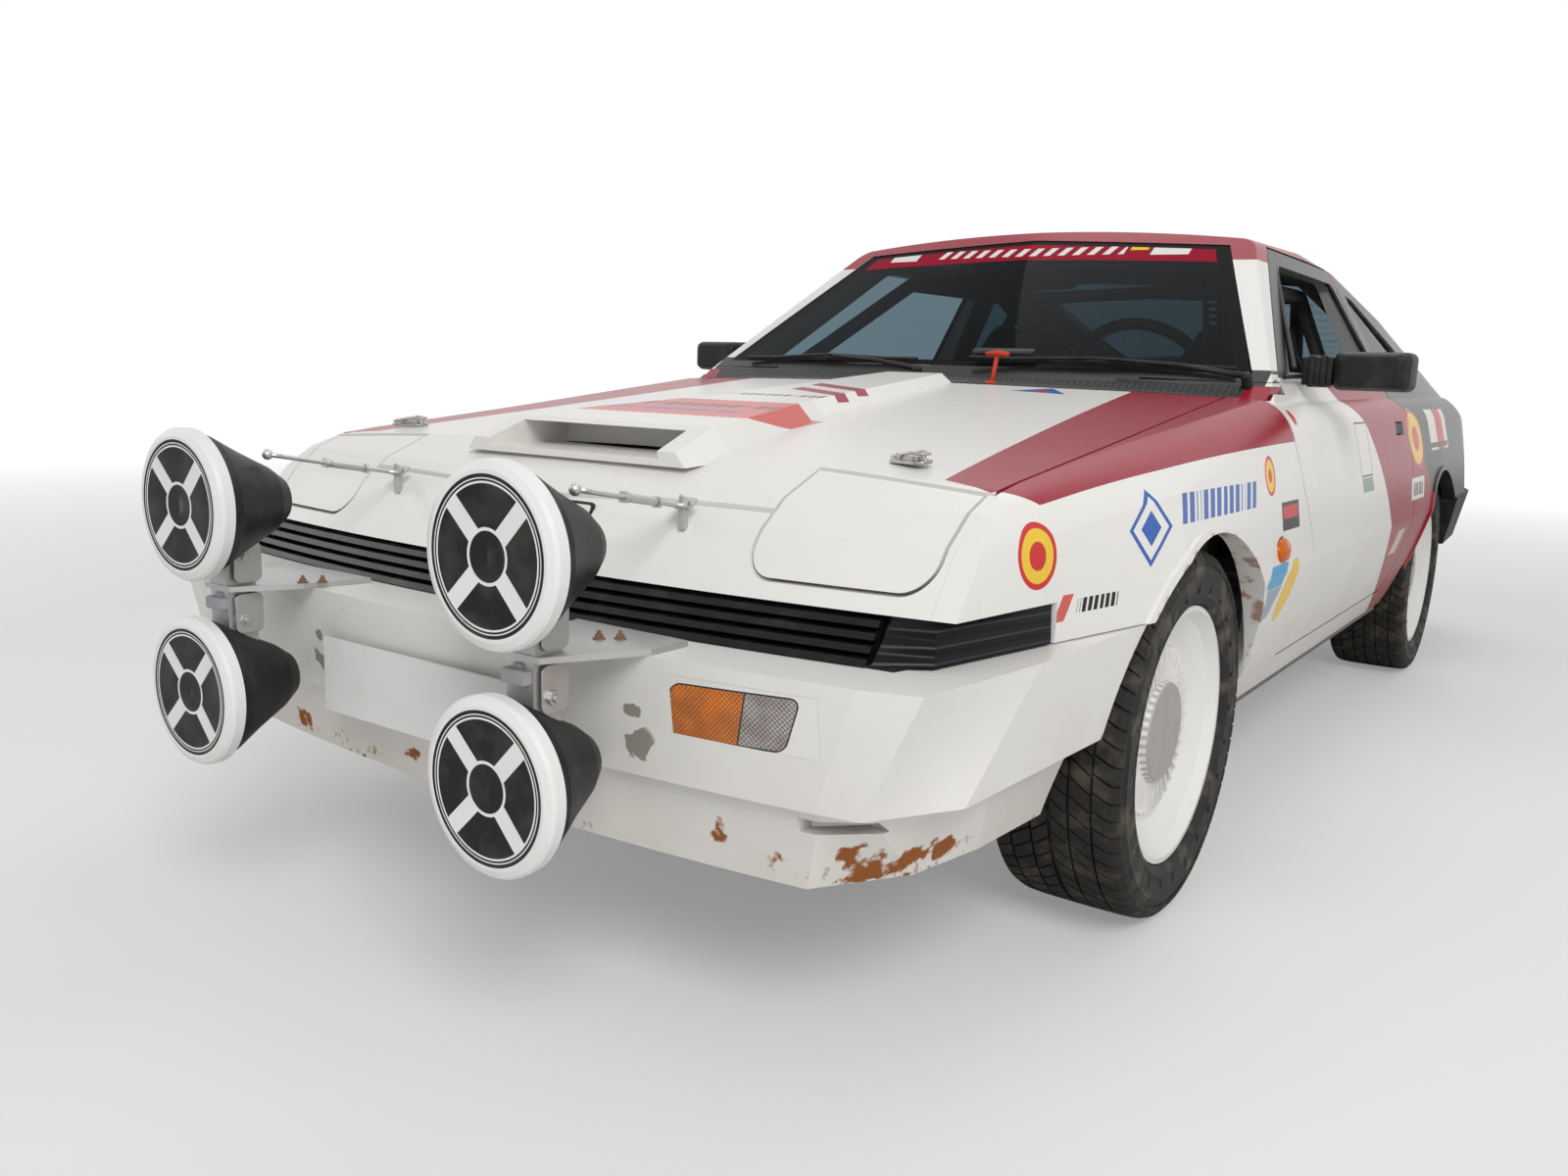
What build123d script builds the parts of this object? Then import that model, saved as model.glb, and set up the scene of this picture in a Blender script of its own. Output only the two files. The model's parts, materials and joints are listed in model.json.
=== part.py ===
from build123d import *

import os

os.makedirs("parts", exist_ok=True)

# Millimetres. +X is the car's left, -Y its front, +Z up, origin on the ground under the middle.
# Stations are measured from the front axle, positive towards the tail.

# Reach of the whole car
front_reach = 1105
wheelbase = 2435
rear_overhang = 1035
rear_reach = wheelbase + rear_overhang
far = 1000

# Walls and clearances
side_wall = 50
cabin_wall = 32
skin_wall = 20
seam = 0.3
panel_gap = 5
door_gap = 6
seat_gap = 0.3
glass_thick = 6
glass_set = 4

# Wheels
tyre_radius = 317
tyre_width = 222
rim_radius = 221
rim_width = 196
bead_radius = 205
wheel_x = 697
arch_radius = 348
well_radius = 402
arch_lip = 42
lip_rise = 6
lip_band = 14
steer_room_radius = 382
steer_room_x = 752
cap_radius = 86
fin_count = 36
fin_reach = 145
fin_root = 80
fin_thick = 5
fin_rise = 8
hub_bore_r = 30

# Body levels
sill_z = 270
crease_z = 555
belt_z = 905
floor_thick = 18
jack_pad_deep = 12
load_z = 500
grille_bottom_z = 552
grille_top_z = 608
bow_radius = 4200

# Panel split lines
lid_rear = -576
lid_inner_x = 430
lid_outer_x = 692
lid_front_z = 634
lid_corner = 40
bonnet_front = -722
bonnet_side_front = 702
bonnet_side_rear = 668
bonnet_rear_centre = 418
bonnet_rear_corner = 508
bonnet_gap_rear = 12
fender_rear = 620
door_slant_low = 0.12
door_slant_high = 0.3
door_tip_room = 1.4
door_tip_x = 745
door_inner_x = 640
door_header_x = 480
door_foot_s = 680
door_foot_z = 918
hatch_front = wheelbase - 530
hatch_sill_z = 945
hatch_front_x = 500
hatch_rear_x = 590

# Bumpers and lamps
bumper_bottom_z = 385
bumper_top_z = 550
rear_bumper_front = wheelbase + 165
rear_bumper_top = 560
rear_bumper_bottom = 390
corner_lamp_end = -502

# Windscreen surface: base and top in the middle, and its bow in plan
screen_base = (500, 905)
screen_top = (1062, 1287)
screen_bow = 2570

# Front lamps: x, station and height of each pair's front face
lamp_radius = 111.5
cover_depth = 24
lamp_pairs = [(331, -1081, 680), (326, -1081, 403)]


def y_of(station):
    return station - (rear_reach - front_reach) / 2


def aft(run):
    """Station of a point given from the rear axle, positive towards the tail."""
    return wheelbase + run


def tail(run):
    """Station of a point given as its distance before the rearmost edge."""
    return rear_reach - run


axle_front = y_of(0)
axle_rear = y_of(wheelbase)

# Sections of the lower body, left half, from nose to tail.
# station, sill x, crease x, flank x, flank z, edge x, edge z, crown z
body_sections = [
    (-900, 690, 716, 712, 650, 672, 716, 742),
    (-500, 735, 768, 762, 700, 706, 764, 786),
    (-150, 748, 838, 806, 736, 704, 803, 826),
    (520, 750, 843, 803, 815, 740, 878, 902),
    (aft(15), 750, 843, 800, 818, 742, 892, 925),
    (aft(565), 745, 834, 790, 815, 730, 893, 925),
    (tail(-10), 700, 775, 742, 800, 690, 868, 900),
]

# Sections of the cabin, left half.
# station, base x, rail x, rail z, edge x, edge z, crown z
cabin_base_z = 850
cabin_sections = [
    (450, 768, 572, 1200, 535, 1230, 1262),
    (1120, 764, 560, 1226, 522, 1256, 1288),
    (1550, 762, 556, 1236, 518, 1268, 1302),
    (aft(-555), 760, 560, 1222, 520, 1252, 1285),
    (aft(-15), 750, 596, 1124, 556, 1150, 1178),
    (tail(180), 722, 640, 940, 600, 964, 990),
]

# Side view of nose and tail in the middle, outer edge only: station, height
nose_line = [(-700, 100), (-822, 330), (-822, 548), (-800, 608), (-782, 634), (-741, 690),
             (-690, 730), (-576, 778), (-400, 830)]
tail_line = [(tail(170), 100), (tail(85), 420), (tail(45), 560), (tail(30), 740), (tail(55), 905),
             (tail(100), 1100)]


def lower_form(wall, top_wall, bottom):
    """Ruled body between the sections, pulled in by its wall."""
    with BuildPart() as form:
        for s, sill_x, crease_x, flank_x, flank_z, edge_x, edge_z, crown_z in body_sections:
            with BuildSketch(Plane.XZ.offset(-y_of(s))):
                with BuildLine():
                    sill = (sill_x - wall, bottom)
                    crease = (crease_x - wall, crease_z)
                    flank = (flank_x - wall, flank_z - top_wall / 2)
                    edge = (edge_x - wall / 2, edge_z - top_wall)
                    crown = (0, crown_z - top_wall)
                    Line((0, bottom), sill)
                    tuck = ((sill[0] + crease[0]) / 2 + 12, (bottom + crease_z) / 2)
                    ThreePointArc(sill, tuck, crease)
                    side = ((crease[0] + flank[0]) / 2 + 4, (crease_z + flank[1]) / 2)
                    ThreePointArc(crease, side, flank)
                    shoulder = ((flank[0] + edge[0]) / 2 + 8, (flank[1] + edge[1]) / 2 + 8)
                    ThreePointArc(flank, shoulder, edge)
                    top = (edge[0] / 2, crown[1] - (crown[1] - edge[1]) * 0.3)
                    ThreePointArc(edge, top, crown)
                    Line(crown, (0, bottom))
                make_face()
        loft(ruled=True)
        mirror(about=Plane.YZ)
    return form.part


def cabin_form(wall, base_z, end_wall=0):
    """Ruled glasshouse: leaning sides, rounded roof rails, crowned roof and fastback."""
    last = cabin_sections[-1][0]
    with BuildPart() as form:
        for s, base_x, rail_x, rail_z, edge_x, edge_z, crown_z in cabin_sections:
            place = s - end_wall if s == last else s
            with BuildSketch(Plane.XZ.offset(-y_of(place))):
                with BuildLine():
                    base = (base_x - wall, base_z)
                    rail = (rail_x - wall, rail_z - wall / 2)
                    edge = (edge_x - wall, edge_z - wall)
                    crown = (0, crown_z - wall)
                    Line((0, base_z), base)
                    Line(base, rail)
                    bend = ((rail[0] + edge[0]) / 2 + 4, (rail[1] + edge[1]) / 2 + 4)
                    ThreePointArc(rail, bend, edge)
                    top = (edge[0] / 2, crown[1] - (crown[1] - edge[1]) * 0.28)
                    ThreePointArc(edge, top, crown)
                    Line(crown, (0, base_z))
                make_face()
        loft(ruled=True)
        mirror(about=Plane.YZ)
    return form.part


def prism(plane, outline, depth, direction=None):
    """A polygon in a plane, extruded along its normal or a slanted direction."""
    with BuildPart() as block:
        with BuildSketch(plane):
            with BuildLine():
                Polyline(*outline, close=True)
            make_face()
        extrude(amount=depth, dir=direction)
    return block.part


def plan_prism(outline, low, high):
    """Points are x and station, extruded in height."""
    return prism(Plane.XY.offset(low), [(x, y_of(s)) for x, s in outline], high - low)


def side_prism(outline, inner_x, outer_x):
    """Points are station and height, extruded across the car."""
    return prism(Plane.YZ.offset(inner_x), [(y_of(s), z) for s, z in outline], outer_x - inner_x)


def block(x_range, s_range, z_range):
    corners = [(x_range[0], s_range[0]), (x_range[1], s_range[0]),
               (x_range[1], s_range[1]), (x_range[0], s_range[1])]
    return plan_prism(corners, z_range[0], z_range[1])


def behind_screen(setback):
    """Everything behind the bowed, raked windscreen surface."""
    drop = 150
    rise = screen_top[1] - screen_base[1]
    rake = (screen_top[0] - screen_base[0]) / rise
    half = 950
    sag = screen_bow - (screen_bow**2 - half**2) ** 0.5
    front = y_of(screen_base[0] - drop * rake) + setback
    height = rise + 2 * drop
    back = y_of(rear_reach) + 400
    with BuildPart() as form:
        with BuildSketch(Plane.XY.offset(screen_base[1] - drop)):
            with BuildLine():
                ThreePointArc((-half, front + sag), (0, front), (half, front + sag))
                Polyline((half, front + sag), (half, back), (-half, back), (-half, front + sag))
            make_face()
        extrude(amount=(height**2 + (height * rake) ** 2) ** 0.5, dir=(0, rake, 1))
    return form.part


def bowed(outline, turn_station, arc):
    """A side-view outline turned about a vertical line far behind it, both ways from the middle."""
    with BuildPart() as form:
        with BuildSketch(Plane.YZ):
            with BuildLine():
                Polyline(*[(y_of(s), z) for s, z in outline], close=True)
            make_face()
        revolve(axis=Axis((0, y_of(turn_station), 0), (0, 0, 1)), revolution_arc=arc)
        mirror(about=Plane.YZ)
    return form.part


nose_turn = nose_line[3][0] + bow_radius
tail_turn = tail_line[3][0] - bow_radius


def before_nose(setback):
    line = [(s + setback, z - setback * 0.6) for s, z in nose_line]
    outline = line + [(line[-1][0], 1500), (-1400, 1500), (-1400, 60), (line[0][0], 60)]
    return bowed(outline, nose_turn, 14)


def behind_tail(setback):
    line = [(s - setback, z) for s, z in tail_line]
    outline = line + [(tail(-430), 1100), (tail(-430), 60), (line[0][0], 60)]
    return bowed(outline, tail_turn, 14)


def screened_cabin(roof_wall, cabin_bottom):
    """Glasshouse ended at the windscreen's surface."""
    with BuildPart() as cabin:
        add(cabin_form(roof_wall, cabin_bottom, roof_wall))
        add(behind_screen(roof_wall), mode=Mode.INTERSECT)
    return cabin.part


def whole_form(wall, top_wall, roof_wall, bottom, cabin_bottom, setback):
    """The closed outer form of the car, or of the space inside its walls."""
    with BuildPart() as form:
        add(lower_form(wall, top_wall, bottom))
        add(before_nose(setback), mode=Mode.SUBTRACT)
        add(behind_tail(setback), mode=Mode.SUBTRACT)
        add(screened_cabin(roof_wall, cabin_bottom))
    return form.part


outer = whole_form(0, 0, 0, sill_z, cabin_base_z, 0)
inner = whole_form(side_wall, skin_wall, cabin_wall, 100, cabin_base_z - 80, skin_wall)

side_x = max(crease_x for _, _, crease_x, *_ in body_sections)
with BuildPart() as arch_lips:
    with Locations((0, axle_front, tyre_radius), (0, axle_rear, tyre_radius)):
        Cylinder(arch_radius + lip_band, 2 * far, rotation=(0, 90, 0))
    add(lower_form(-lip_rise, 0, sill_z), mode=Mode.INTERSECT)
with BuildPart() as shell:
    add(outer)
    add(arch_lips.part)
    add(inner, mode=Mode.SUBTRACT)
    with Locations((0, axle_front, tyre_radius), (0, axle_rear, tyre_radius)):
        Cylinder(arch_radius, 2 * far, rotation=(0, 90, 0), mode=Mode.SUBTRACT)
        Cylinder(well_radius, 2 * (side_x - arch_lip), rotation=(0, 90, 0), mode=Mode.SUBTRACT)


def both_sides(outline):
    """The outline of one half, given by x and station, closed by its mirror image."""
    return outline + [(-x, s) for x, s in reversed(outline) if x > 0]


def bonnet_outline(grow):
    rear_grow = grow * bonnet_gap_rear / panel_gap
    side = [
        (0, bonnet_front - grow * 1.6),
        (lid_inner_x + grow * 0.3, bonnet_front + 37 - grow * 1.6),
        (lid_inner_x + grow * 0.3, lid_rear - grow),
        (bonnet_side_front + grow, lid_rear - grow),
        (bonnet_side_rear + grow, bonnet_rear_corner + rear_grow),
        (bonnet_side_rear / 2, bonnet_rear_centre + 24 + rear_grow),
        (0, bonnet_rear_centre + rear_grow),
    ]
    return both_sides(side)


def lid_outline(grow):
    return [
        (lid_inner_x + panel_gap - grow, lid_rear - panel_gap * 2 + grow * 1.4),
        (lid_outer_x + grow, lid_rear - panel_gap * 2 + grow * 1.4),
        (lid_outer_x + grow, -1000),
        (lid_inner_x + panel_gap - grow, -1000),
    ]


def lid_zone(grow):
    """The lid's plan, with rounded lower corners in front view."""
    low = lid_front_z - grow
    high = belt_z
    width = lid_outer_x - lid_inner_x - panel_gap + 2 * grow
    with BuildPart() as zone:
        add(plan_prism(lid_outline(grow), low, high))
        with BuildSketch(Plane.XZ.offset(-y_of(lid_rear + far))):
            with Locations(((lid_inner_x + panel_gap + lid_outer_x) / 2, (low + high) / 2)):
                RectangleRounded(width, high - low, lid_corner + grow)
        extrude(amount=2 * far, mode=Mode.INTERSECT)
    return zone.part


def hatch_outline(grow):
    last = cabin_sections[-1][0]
    return both_sides([(hatch_front_x + grow, hatch_front - grow * 1.4), (hatch_rear_x + grow, last + 60)])


# Side view of the door: station, height and the half-width of the side there
door_rows = [
    (668, 345, 760), (644, 600, 843), (582, 720, 820), (536, 820, 800), (531, 893, 760),
    (690, door_foot_z, 730), (1120, 1212, 565), (1165, 1238, 555), (aft(-645), 1238, 555),
    (aft(-620), 1222, 560), (aft(-567), 905, 735), (aft(-567), 640, 835), (aft(-600), 450, 800),
    (aft(-635), 345, 760),
]
handle_recess = ((788, far), (aft(-780), aft(-665)), (790, 826))


def door_block(grow, slant, low_x, s_front, z_range):
    """The door's outline swept across its side along slanted shut faces."""
    plane = Plane.YZ.offset(low_x)
    depth = 900 - low_x
    with BuildPart() as form:
        with BuildSketch(plane):
            with BuildLine():
                Polyline(*[(y_of(s) + slant * (low_x - x), z) for s, z, x in door_rows],
                         close=True)
            make_face()
            if grow > 0:
                offset(amount=grow, kind=Kind.INTERSECTION)
        extrude(amount=depth * (1 + slant**2) ** 0.5, dir=(1, slant, 0))
        add(block((low_x - 10, far), (s_front, aft(0)), z_range), mode=Mode.INTERSECT)
    return form.part


def door_zone(grow):
    """Lower door in the side wall with its thin front tip, upper door in the leaning side."""
    with BuildPart() as zone:
        add(door_block(grow, door_slant_low, door_tip_x - grow * door_tip_room, 0,
                       (0, door_foot_z + grow)))
        add(door_block(grow, door_slant_low, door_inner_x - grow, door_foot_s - grow,
                       (0, door_foot_z + grow)))
        add(door_block(grow, door_slant_high, door_header_x - grow, 0,
                       (door_foot_z - grow, 1400)))
    return zone.part


window_outline = [(806, 938), (1168, 1186), (1196, 1200), (aft(-683), 1200), (aft(-663), 1180),
                  (aft(-629), 938)]
quarter_outline = [(aft(-501), 950), (aft(-517), 1180), (aft(-425), 1172), (aft(125), 1008),
                   (aft(161), 950)]


def screen_block(grow, near, deep):
    """Front view of the windscreen opening, as deep as a slab along the screen."""
    outline = [(-688 - grow, 930 - grow), (688 + grow, 930 - grow), (498 + grow, 1236 + grow),
               (0, 1262 + grow), (-498 - grow, 1236 + grow)]
    with BuildPart() as hole:
        add(prism(Plane.XZ.offset(-y_of(1290)), outline, 990))
        add(behind_screen(near), mode=Mode.INTERSECT)
        add(behind_screen(deep), mode=Mode.SUBTRACT)
    return hole.part


def rear_glass_outline(grow):
    side = [(438 + grow, hatch_front + 60 - grow), (500 + grow, tail(385) + grow)]
    return both_sides(side)


def cut_part(base, *tools):
    with BuildPart() as result:
        add(base)
        for tool in tools:
            add(tool, mode=Mode.SUBTRACT)
    return result.part


def common_part(base, *tools):
    with BuildPart() as result:
        add(base)
        for tool in tools:
            add(tool, mode=Mode.INTERSECT)
    return result.part


def mirrored(part):
    with BuildPart() as result:
        mirror(part, about=Plane.YZ)
    return result.part


def pair(part):
    with BuildPart() as result:
        add(part)
        mirror(part, about=Plane.YZ)
    return result.part


written = []


def write(part, name):
    part.label = name
    export_step(part, "parts/" + name + ".step")
    written.append(name)


# Doors
door_hole = door_zone(door_gap)
with BuildPart() as door_left:
    add(shell.part)
    add(door_zone(0), mode=Mode.INTERSECT)
    add(side_prism(window_outline, 400, 900), mode=Mode.SUBTRACT)
    add(block(*handle_recess), mode=Mode.SUBTRACT)
write(door_left.part, "door_left")
door_right = mirrored(door_left.part)
write(door_right, "door_right")

# Bonnet with its raised air scoop
bonnet_top = 1000
with BuildPart() as bonnet:
    add(shell.part)
    add(plan_prism(bonnet_outline(0), 640, bonnet_top), mode=Mode.INTERSECT)

# Bulge outline in plan and its height over the bonnet: x, station, height above
scoop_front = -650
scoop_rows = [(262, -560, 34), (160, -150, 26), (112, 430, 20)]


def bonnet_level(station):
    return 775 + 0.113 * (station + 526) + 8


with BuildPart() as scoop:
    for half_x, s, rise in scoop_rows:
        top = bonnet_level(s) + rise
        foot = bonnet_level(s) - 14
        with BuildSketch(Plane.XZ.offset(-y_of(s))):
            with BuildLine():
                Polyline((-half_x, foot), (-half_x + 42, top), (half_x - 42, top), (half_x, foot),
                         close=True)
            make_face()
    loft(ruled=True)
with BuildPart() as scoop_nose:
    half_x, s, rise = scoop_rows[0]
    for nose_s, spread, nose_rise in ((s, 0, rise), (scoop_front, -22, 8)):
        top = bonnet_level(nose_s) + nose_rise
        foot = bonnet_level(nose_s) - 14
        with BuildSketch(Plane.XZ.offset(-y_of(nose_s))):
            with BuildLine():
                Polyline((-half_x - spread, foot), (-half_x + 42, top), (half_x - 42, top),
                         (half_x + spread, foot), close=True)
            make_face()
    loft(ruled=True)
mouth = prism(Plane.XZ.offset(-y_of(-470)), [(-186, 766), (186, 766), (180, 806), (-180, 806)], 260)
with BuildPart() as bonnet_whole:
    add(bonnet.part)
    add(scoop.part)
    add(scoop_nose.part)
    add(inner, mode=Mode.SUBTRACT)
    add(mouth, mode=Mode.SUBTRACT)
write(bonnet_whole.part, "bonnet")

# Pop-up headlamps: nose skin as a lid, with the lamp's box under it
pod_box_outline = [(-790, 645), (-690, 640), (-662, 614), (-640, 626), (-618, 800), (-790, 800)]
with BuildPart() as pod_box:
    add(side_prism(pod_box_outline, lid_inner_x + 34, lid_outer_x - 34))
    add(inner, mode=Mode.INTERSECT)
with BuildPart() as pod_left:
    add(shell.part)
    add(lid_zone(0), mode=Mode.INTERSECT)
    add(pod_box.part)
write(pod_left.part, "headlamp_pod_left")
write(mirrored(pod_left.part), "headlamp_pod_right")

# Hatch with its glass
hatch_block = plan_prism(hatch_outline(0), hatch_sill_z, 1400)
with BuildPart() as hatch:
    add(shell.part)
    add(hatch_block, mode=Mode.INTERSECT)
    add(plan_prism(rear_glass_outline(seat_gap), 900, 1400), mode=Mode.SUBTRACT)
write(hatch.part, "hatch")
glass_slab = cut_part(cabin_form(glass_set, 800), cabin_form(glass_set + glass_thick, 700))
write(common_part(glass_slab, plan_prism(rear_glass_outline(0), 960, 1400)), "hatch_glass")

# What stays when every moving panel is out
with BuildPart() as fixed:
    add(shell.part)
    add(door_hole, mode=Mode.SUBTRACT)
    add(mirrored(door_hole), mode=Mode.SUBTRACT)
    add(plan_prism(bonnet_outline(panel_gap), 640, bonnet_top), mode=Mode.SUBTRACT)
    add(plan_prism(hatch_outline(panel_gap), hatch_sill_z - panel_gap, 1500), mode=Mode.SUBTRACT)
    add(pair(lid_zone(panel_gap)), mode=Mode.SUBTRACT)

tail_s = tail(-100)
fender_seam = [(bonnet_side_front + panel_gap, -950), (bonnet_side_front + panel_gap, lid_rear),
               (bonnet_side_rear + panel_gap, bonnet_rear_corner), (704, 640), (704, 700)]
fender_plan = fender_seam + [(far, 700), (far, -950)]

with BuildPart() as fender_left:
    add(fixed.part)
    add(plan_prism(fender_plan, 100, belt_z - seam), mode=Mode.INTERSECT)
    add(block((0, far), (fender_rear, 800), (0, 500)), mode=Mode.SUBTRACT)
    add(block((0, far), (-1200, corner_lamp_end), (0, grille_top_z)), mode=Mode.SUBTRACT)
    add(block((0, far), (-1200, 0), (0, grille_bottom_z)), mode=Mode.SUBTRACT)
write(fender_left.part, "front_fender_left")
write(mirrored(fender_left.part), "front_fender_right")

nose_plan = both_sides([(bonnet_side_front + panel_gap - seam, -1000),
                        (bonnet_side_front + panel_gap - seam, lid_rear - 5)])
write(common_part(fixed.part, plan_prism(nose_plan, grille_top_z, 900)), "nose_panel")

cowl_plan = both_sides([(bonnet_side_rear + panel_gap - seam, bonnet_rear_corner - 60),
                        (bonnet_side_rear + panel_gap - seam, bonnet_rear_corner),
                        (704 - seam, 640), (704 - seam, 700)])
cowl_zone = plan_prism(cowl_plan, 780, belt_z - seam)
write(common_part(fixed.part, cowl_zone), "cowl_panel")

quarter_hole = side_prism(quarter_outline, 400, 900)
with BuildPart() as roof_frame:
    add(fixed.part)
    add(block((-far, far), (300, tail_s), (belt_z, 1500)), mode=Mode.INTERSECT)
    add(screen_block(seat_gap, -cabin_wall, cabin_wall + 10), mode=Mode.SUBTRACT)
    add(quarter_hole, mode=Mode.SUBTRACT)
    add(mirrored(quarter_hole), mode=Mode.SUBTRACT)
write(roof_frame.part, "roof_frame")

tail_lamp_zone = ((300, 700), (tail(170), tail(-130)), (672, 806))


def swell(zone, grow):
    """A block's three ranges, each let out by the same amount."""
    return block(*[(low - grow, high + grow) for low, high in zone])


with BuildPart() as rear_body:
    add(fixed.part)
    add(block((-far, far), (fender_rear + seam, tail_s), (100, belt_z - seam)), mode=Mode.INTERSECT)
    add(block((-far, far), (rear_bumper_front, tail(-230)), (0, rear_bumper_top + seat_gap)),
        mode=Mode.SUBTRACT)
    add(pair(swell(tail_lamp_zone, 0)), mode=Mode.SUBTRACT)
    add(block((-far, far), (500, 1500), (500, 1000)), mode=Mode.SUBTRACT)
write(rear_body.part, "rear_body")

# Fixed glass
with BuildPart() as windscreen:
    add(screen_block(0, glass_set, glass_set + glass_thick))
    add(cabin_form(0, 700), mode=Mode.INTERSECT)
write(windscreen.part, "windscreen")
with BuildPart() as quarter_pane:
    add(glass_slab)
    add(side_prism(quarter_outline, 450, 900), mode=Mode.INTERSECT)
write(pair(quarter_pane.part), "quarter_glass")

with BuildPart() as tail_lamp:
    add(shell.part)
    add(swell(tail_lamp_zone, -seat_gap), mode=Mode.INTERSECT)
write(pair(tail_lamp.part), "tail_lamps")


def ringed(outer_half, inner_half, level):
    """Closed outline of a bar that bows across the car: outer arc, corners, inner corners."""
    crown, first = outer_half[0], outer_half[1]
    with BuildSketch(Plane.XY.offset(level)) as ring:
        with BuildLine():
            ThreePointArc((-first[0], y_of(first[1])), (0, y_of(crown[1])),
                          (first[0], y_of(first[1])))
            for side in (1, -1):
                corners = outer_half[1:] + list(reversed(inner_half))
                Polyline(*[(x * side, y_of(s)) for x, s in corners])
        make_face()
    return ring.sketch


def bar(upper, lower, top, bottom):
    """Ruled solid between the upper and the lower outline of a bumper or valance."""
    with BuildPart() as solid:
        add(ringed(*upper, top))
        add(ringed(*lower, bottom))
        loft(ruled=True)
    return solid.part


# Front bumper: outer and inner corners of each outline, x and station
bumper_upper = ([(0, -950), (700, -892), (775, -868), (803, -617), (812, -230)],
                [(0, -850), (690, -792), (733, -600), (760, -230)])
bumper_lower = ([(0, -925), (640, -878), (698, -866), (770, -742), (790, -230)],
                [(0, -850), (630, -802), (700, -690), (735, -230)])
turn_lamp_zone = ((450, 652), (-1000, -880), (454, 531))
with BuildPart() as front_arches:
    with Locations((0, axle_front, tyre_radius)):
        Cylinder(arch_radius, 2 * far, rotation=(0, 90, 0))
        Cylinder(steer_room_radius, 2 * steer_room_x, rotation=(0, 90, 0))
with BuildPart() as rear_arches:
    with Locations((0, axle_rear, tyre_radius)):
        Cylinder(arch_radius, 2 * far, rotation=(0, 90, 0))

bumper_bar = bar(bumper_upper, bumper_lower, bumper_top_z, bumper_bottom_z)
with BuildPart() as front_bumper:
    add(bumper_bar)
    add(front_arches.part, mode=Mode.SUBTRACT)
    add(pair(swell(turn_lamp_zone, 0)), mode=Mode.SUBTRACT)
write(front_bumper.part, "front_bumper")

valance_upper = ([(0, -905), (640, -862), (690, -835), (745, -620), (762, -230)],
                 [(0, -880), (620, -838), (665, -812), (722, -600), (738, -230)])
valance_lower = ([(0, -870), (600, -826), (680, -700), (705, -560), (722, -230)],
                 [(0, -850), (585, -806), (655, -690), (680, -550), (698, -230)])
valance_bottom_z = 262
valance_slot = ((606, 690), (-920, -780), (348, 368))
with BuildPart() as front_valance:
    add(bar(valance_upper, valance_lower, bumper_bottom_z - seat_gap, valance_bottom_z))
    add(front_arches.part, mode=Mode.SUBTRACT)
    add(pair(block(*valance_slot)), mode=Mode.SUBTRACT)
write(front_valance.part, "front_valance")

rear_upper = ([(0, tail(0)), (690, tail(58)), (778, tail(98)), (830, tail(320)), (850, aft(265))],
              [(0, tail(78)), (670, tail(134)), (768, tail(330)), (790, aft(265))])
rear_lower = ([(0, tail(18)), (680, tail(76)), (750, tail(120)), (795, tail(320)), (815, aft(265))],
              [(0, tail(78)), (660, tail(134)), (735, tail(330)), (755, aft(265))])
with BuildPart() as rear_bumper:
    add(bar(rear_upper, rear_lower, rear_bumper_top, rear_bumper_bottom))
    add(rear_arches.part, mode=Mode.SUBTRACT)
write(rear_bumper.part, "rear_bumper")

# Grille: ribs across the nose, swept round its bow
rib_count = 4
lean = (-850 + 800) / (grille_top_z - grille_bottom_z)


def grille_face(z):
    return -800 + lean * (grille_top_z - z)


grille_line = []
rib_pitch = (grille_top_z - grille_bottom_z - 2 * seat_gap) / rib_count
for index in range(rib_count):
    low = grille_bottom_z + seat_gap + index * rib_pitch
    for z, depth in ((low, 0), (low + rib_pitch * 0.55, 0), (low + rib_pitch * 0.6, 14),
                     (low + rib_pitch * 0.97, 14)):
        grille_line.append((grille_face(z) + depth, z))
grille_line.append((grille_face(grille_top_z) + 30, grille_top_z - seat_gap))
grille_line.append((grille_face(grille_bottom_z) + 40, grille_bottom_z + seat_gap))
grille_arc = 8.85
write(bowed(grille_line, nose_turn, grille_arc), "grille")

# Corner lamps round the ends of the grille, and turn lamps in the bumper
corner_lower = [(661, -798), (722, -752), (767, -510), (736, -510), (692, -715), (661, -750)]
corner_upper = [(661, -748), (713, -733), (764, -510), (736, -510), (688, -700), (661, -710)]
with BuildPart() as corner_lamp:
    for outline, level in ((corner_lower, grille_bottom_z + seat_gap),
                           (corner_upper, grille_top_z - seat_gap)):
        with BuildSketch(Plane.XY.offset(level)):
            with BuildLine():
                Polyline(*[(x, y_of(s)) for x, s in outline], close=True)
            make_face()
    loft(ruled=True)
write(pair(corner_lamp.part), "corner_lamps")
turn_lamp = common_part(bumper_bar, swell(turn_lamp_zone, -seat_gap))
write(pair(turn_lamp), "turn_lamps")

# Blank plates
plate_front = block((-212, 212), (-954, -950.3), (368, 482))
plate_rear = block((-260, 260), (tail(34), tail(31)), (575, 685))
with BuildPart() as plates:
    add(plate_front)
    add(plate_rear)
write(plates.part, "number_plates")


def turned(profile, x, z):
    """Half profile of station and radius, turned about a line along the car."""
    with BuildPart() as solid:
        with BuildSketch(Plane.YZ.offset(x)):
            with BuildLine():
                Polyline(*[(y_of(s), z + r) for s, r in profile], close=True)
            make_face()
        revolve(axis=Axis((x, 0, z), (0, 1, 0)))
    return solid.part


def rod(start, end, radius):
    """Round bar between two points given as x, station and height."""
    foot = Vector(start[0], y_of(start[1]), start[2])
    head = Vector(end[0], y_of(end[1]), end[2])
    run = head - foot
    with BuildPart() as solid:
        with BuildSketch(Plane(origin=foot, z_dir=run)):
            Circle(radius)
        extrude(amount=run.length)
    return solid.part


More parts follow.
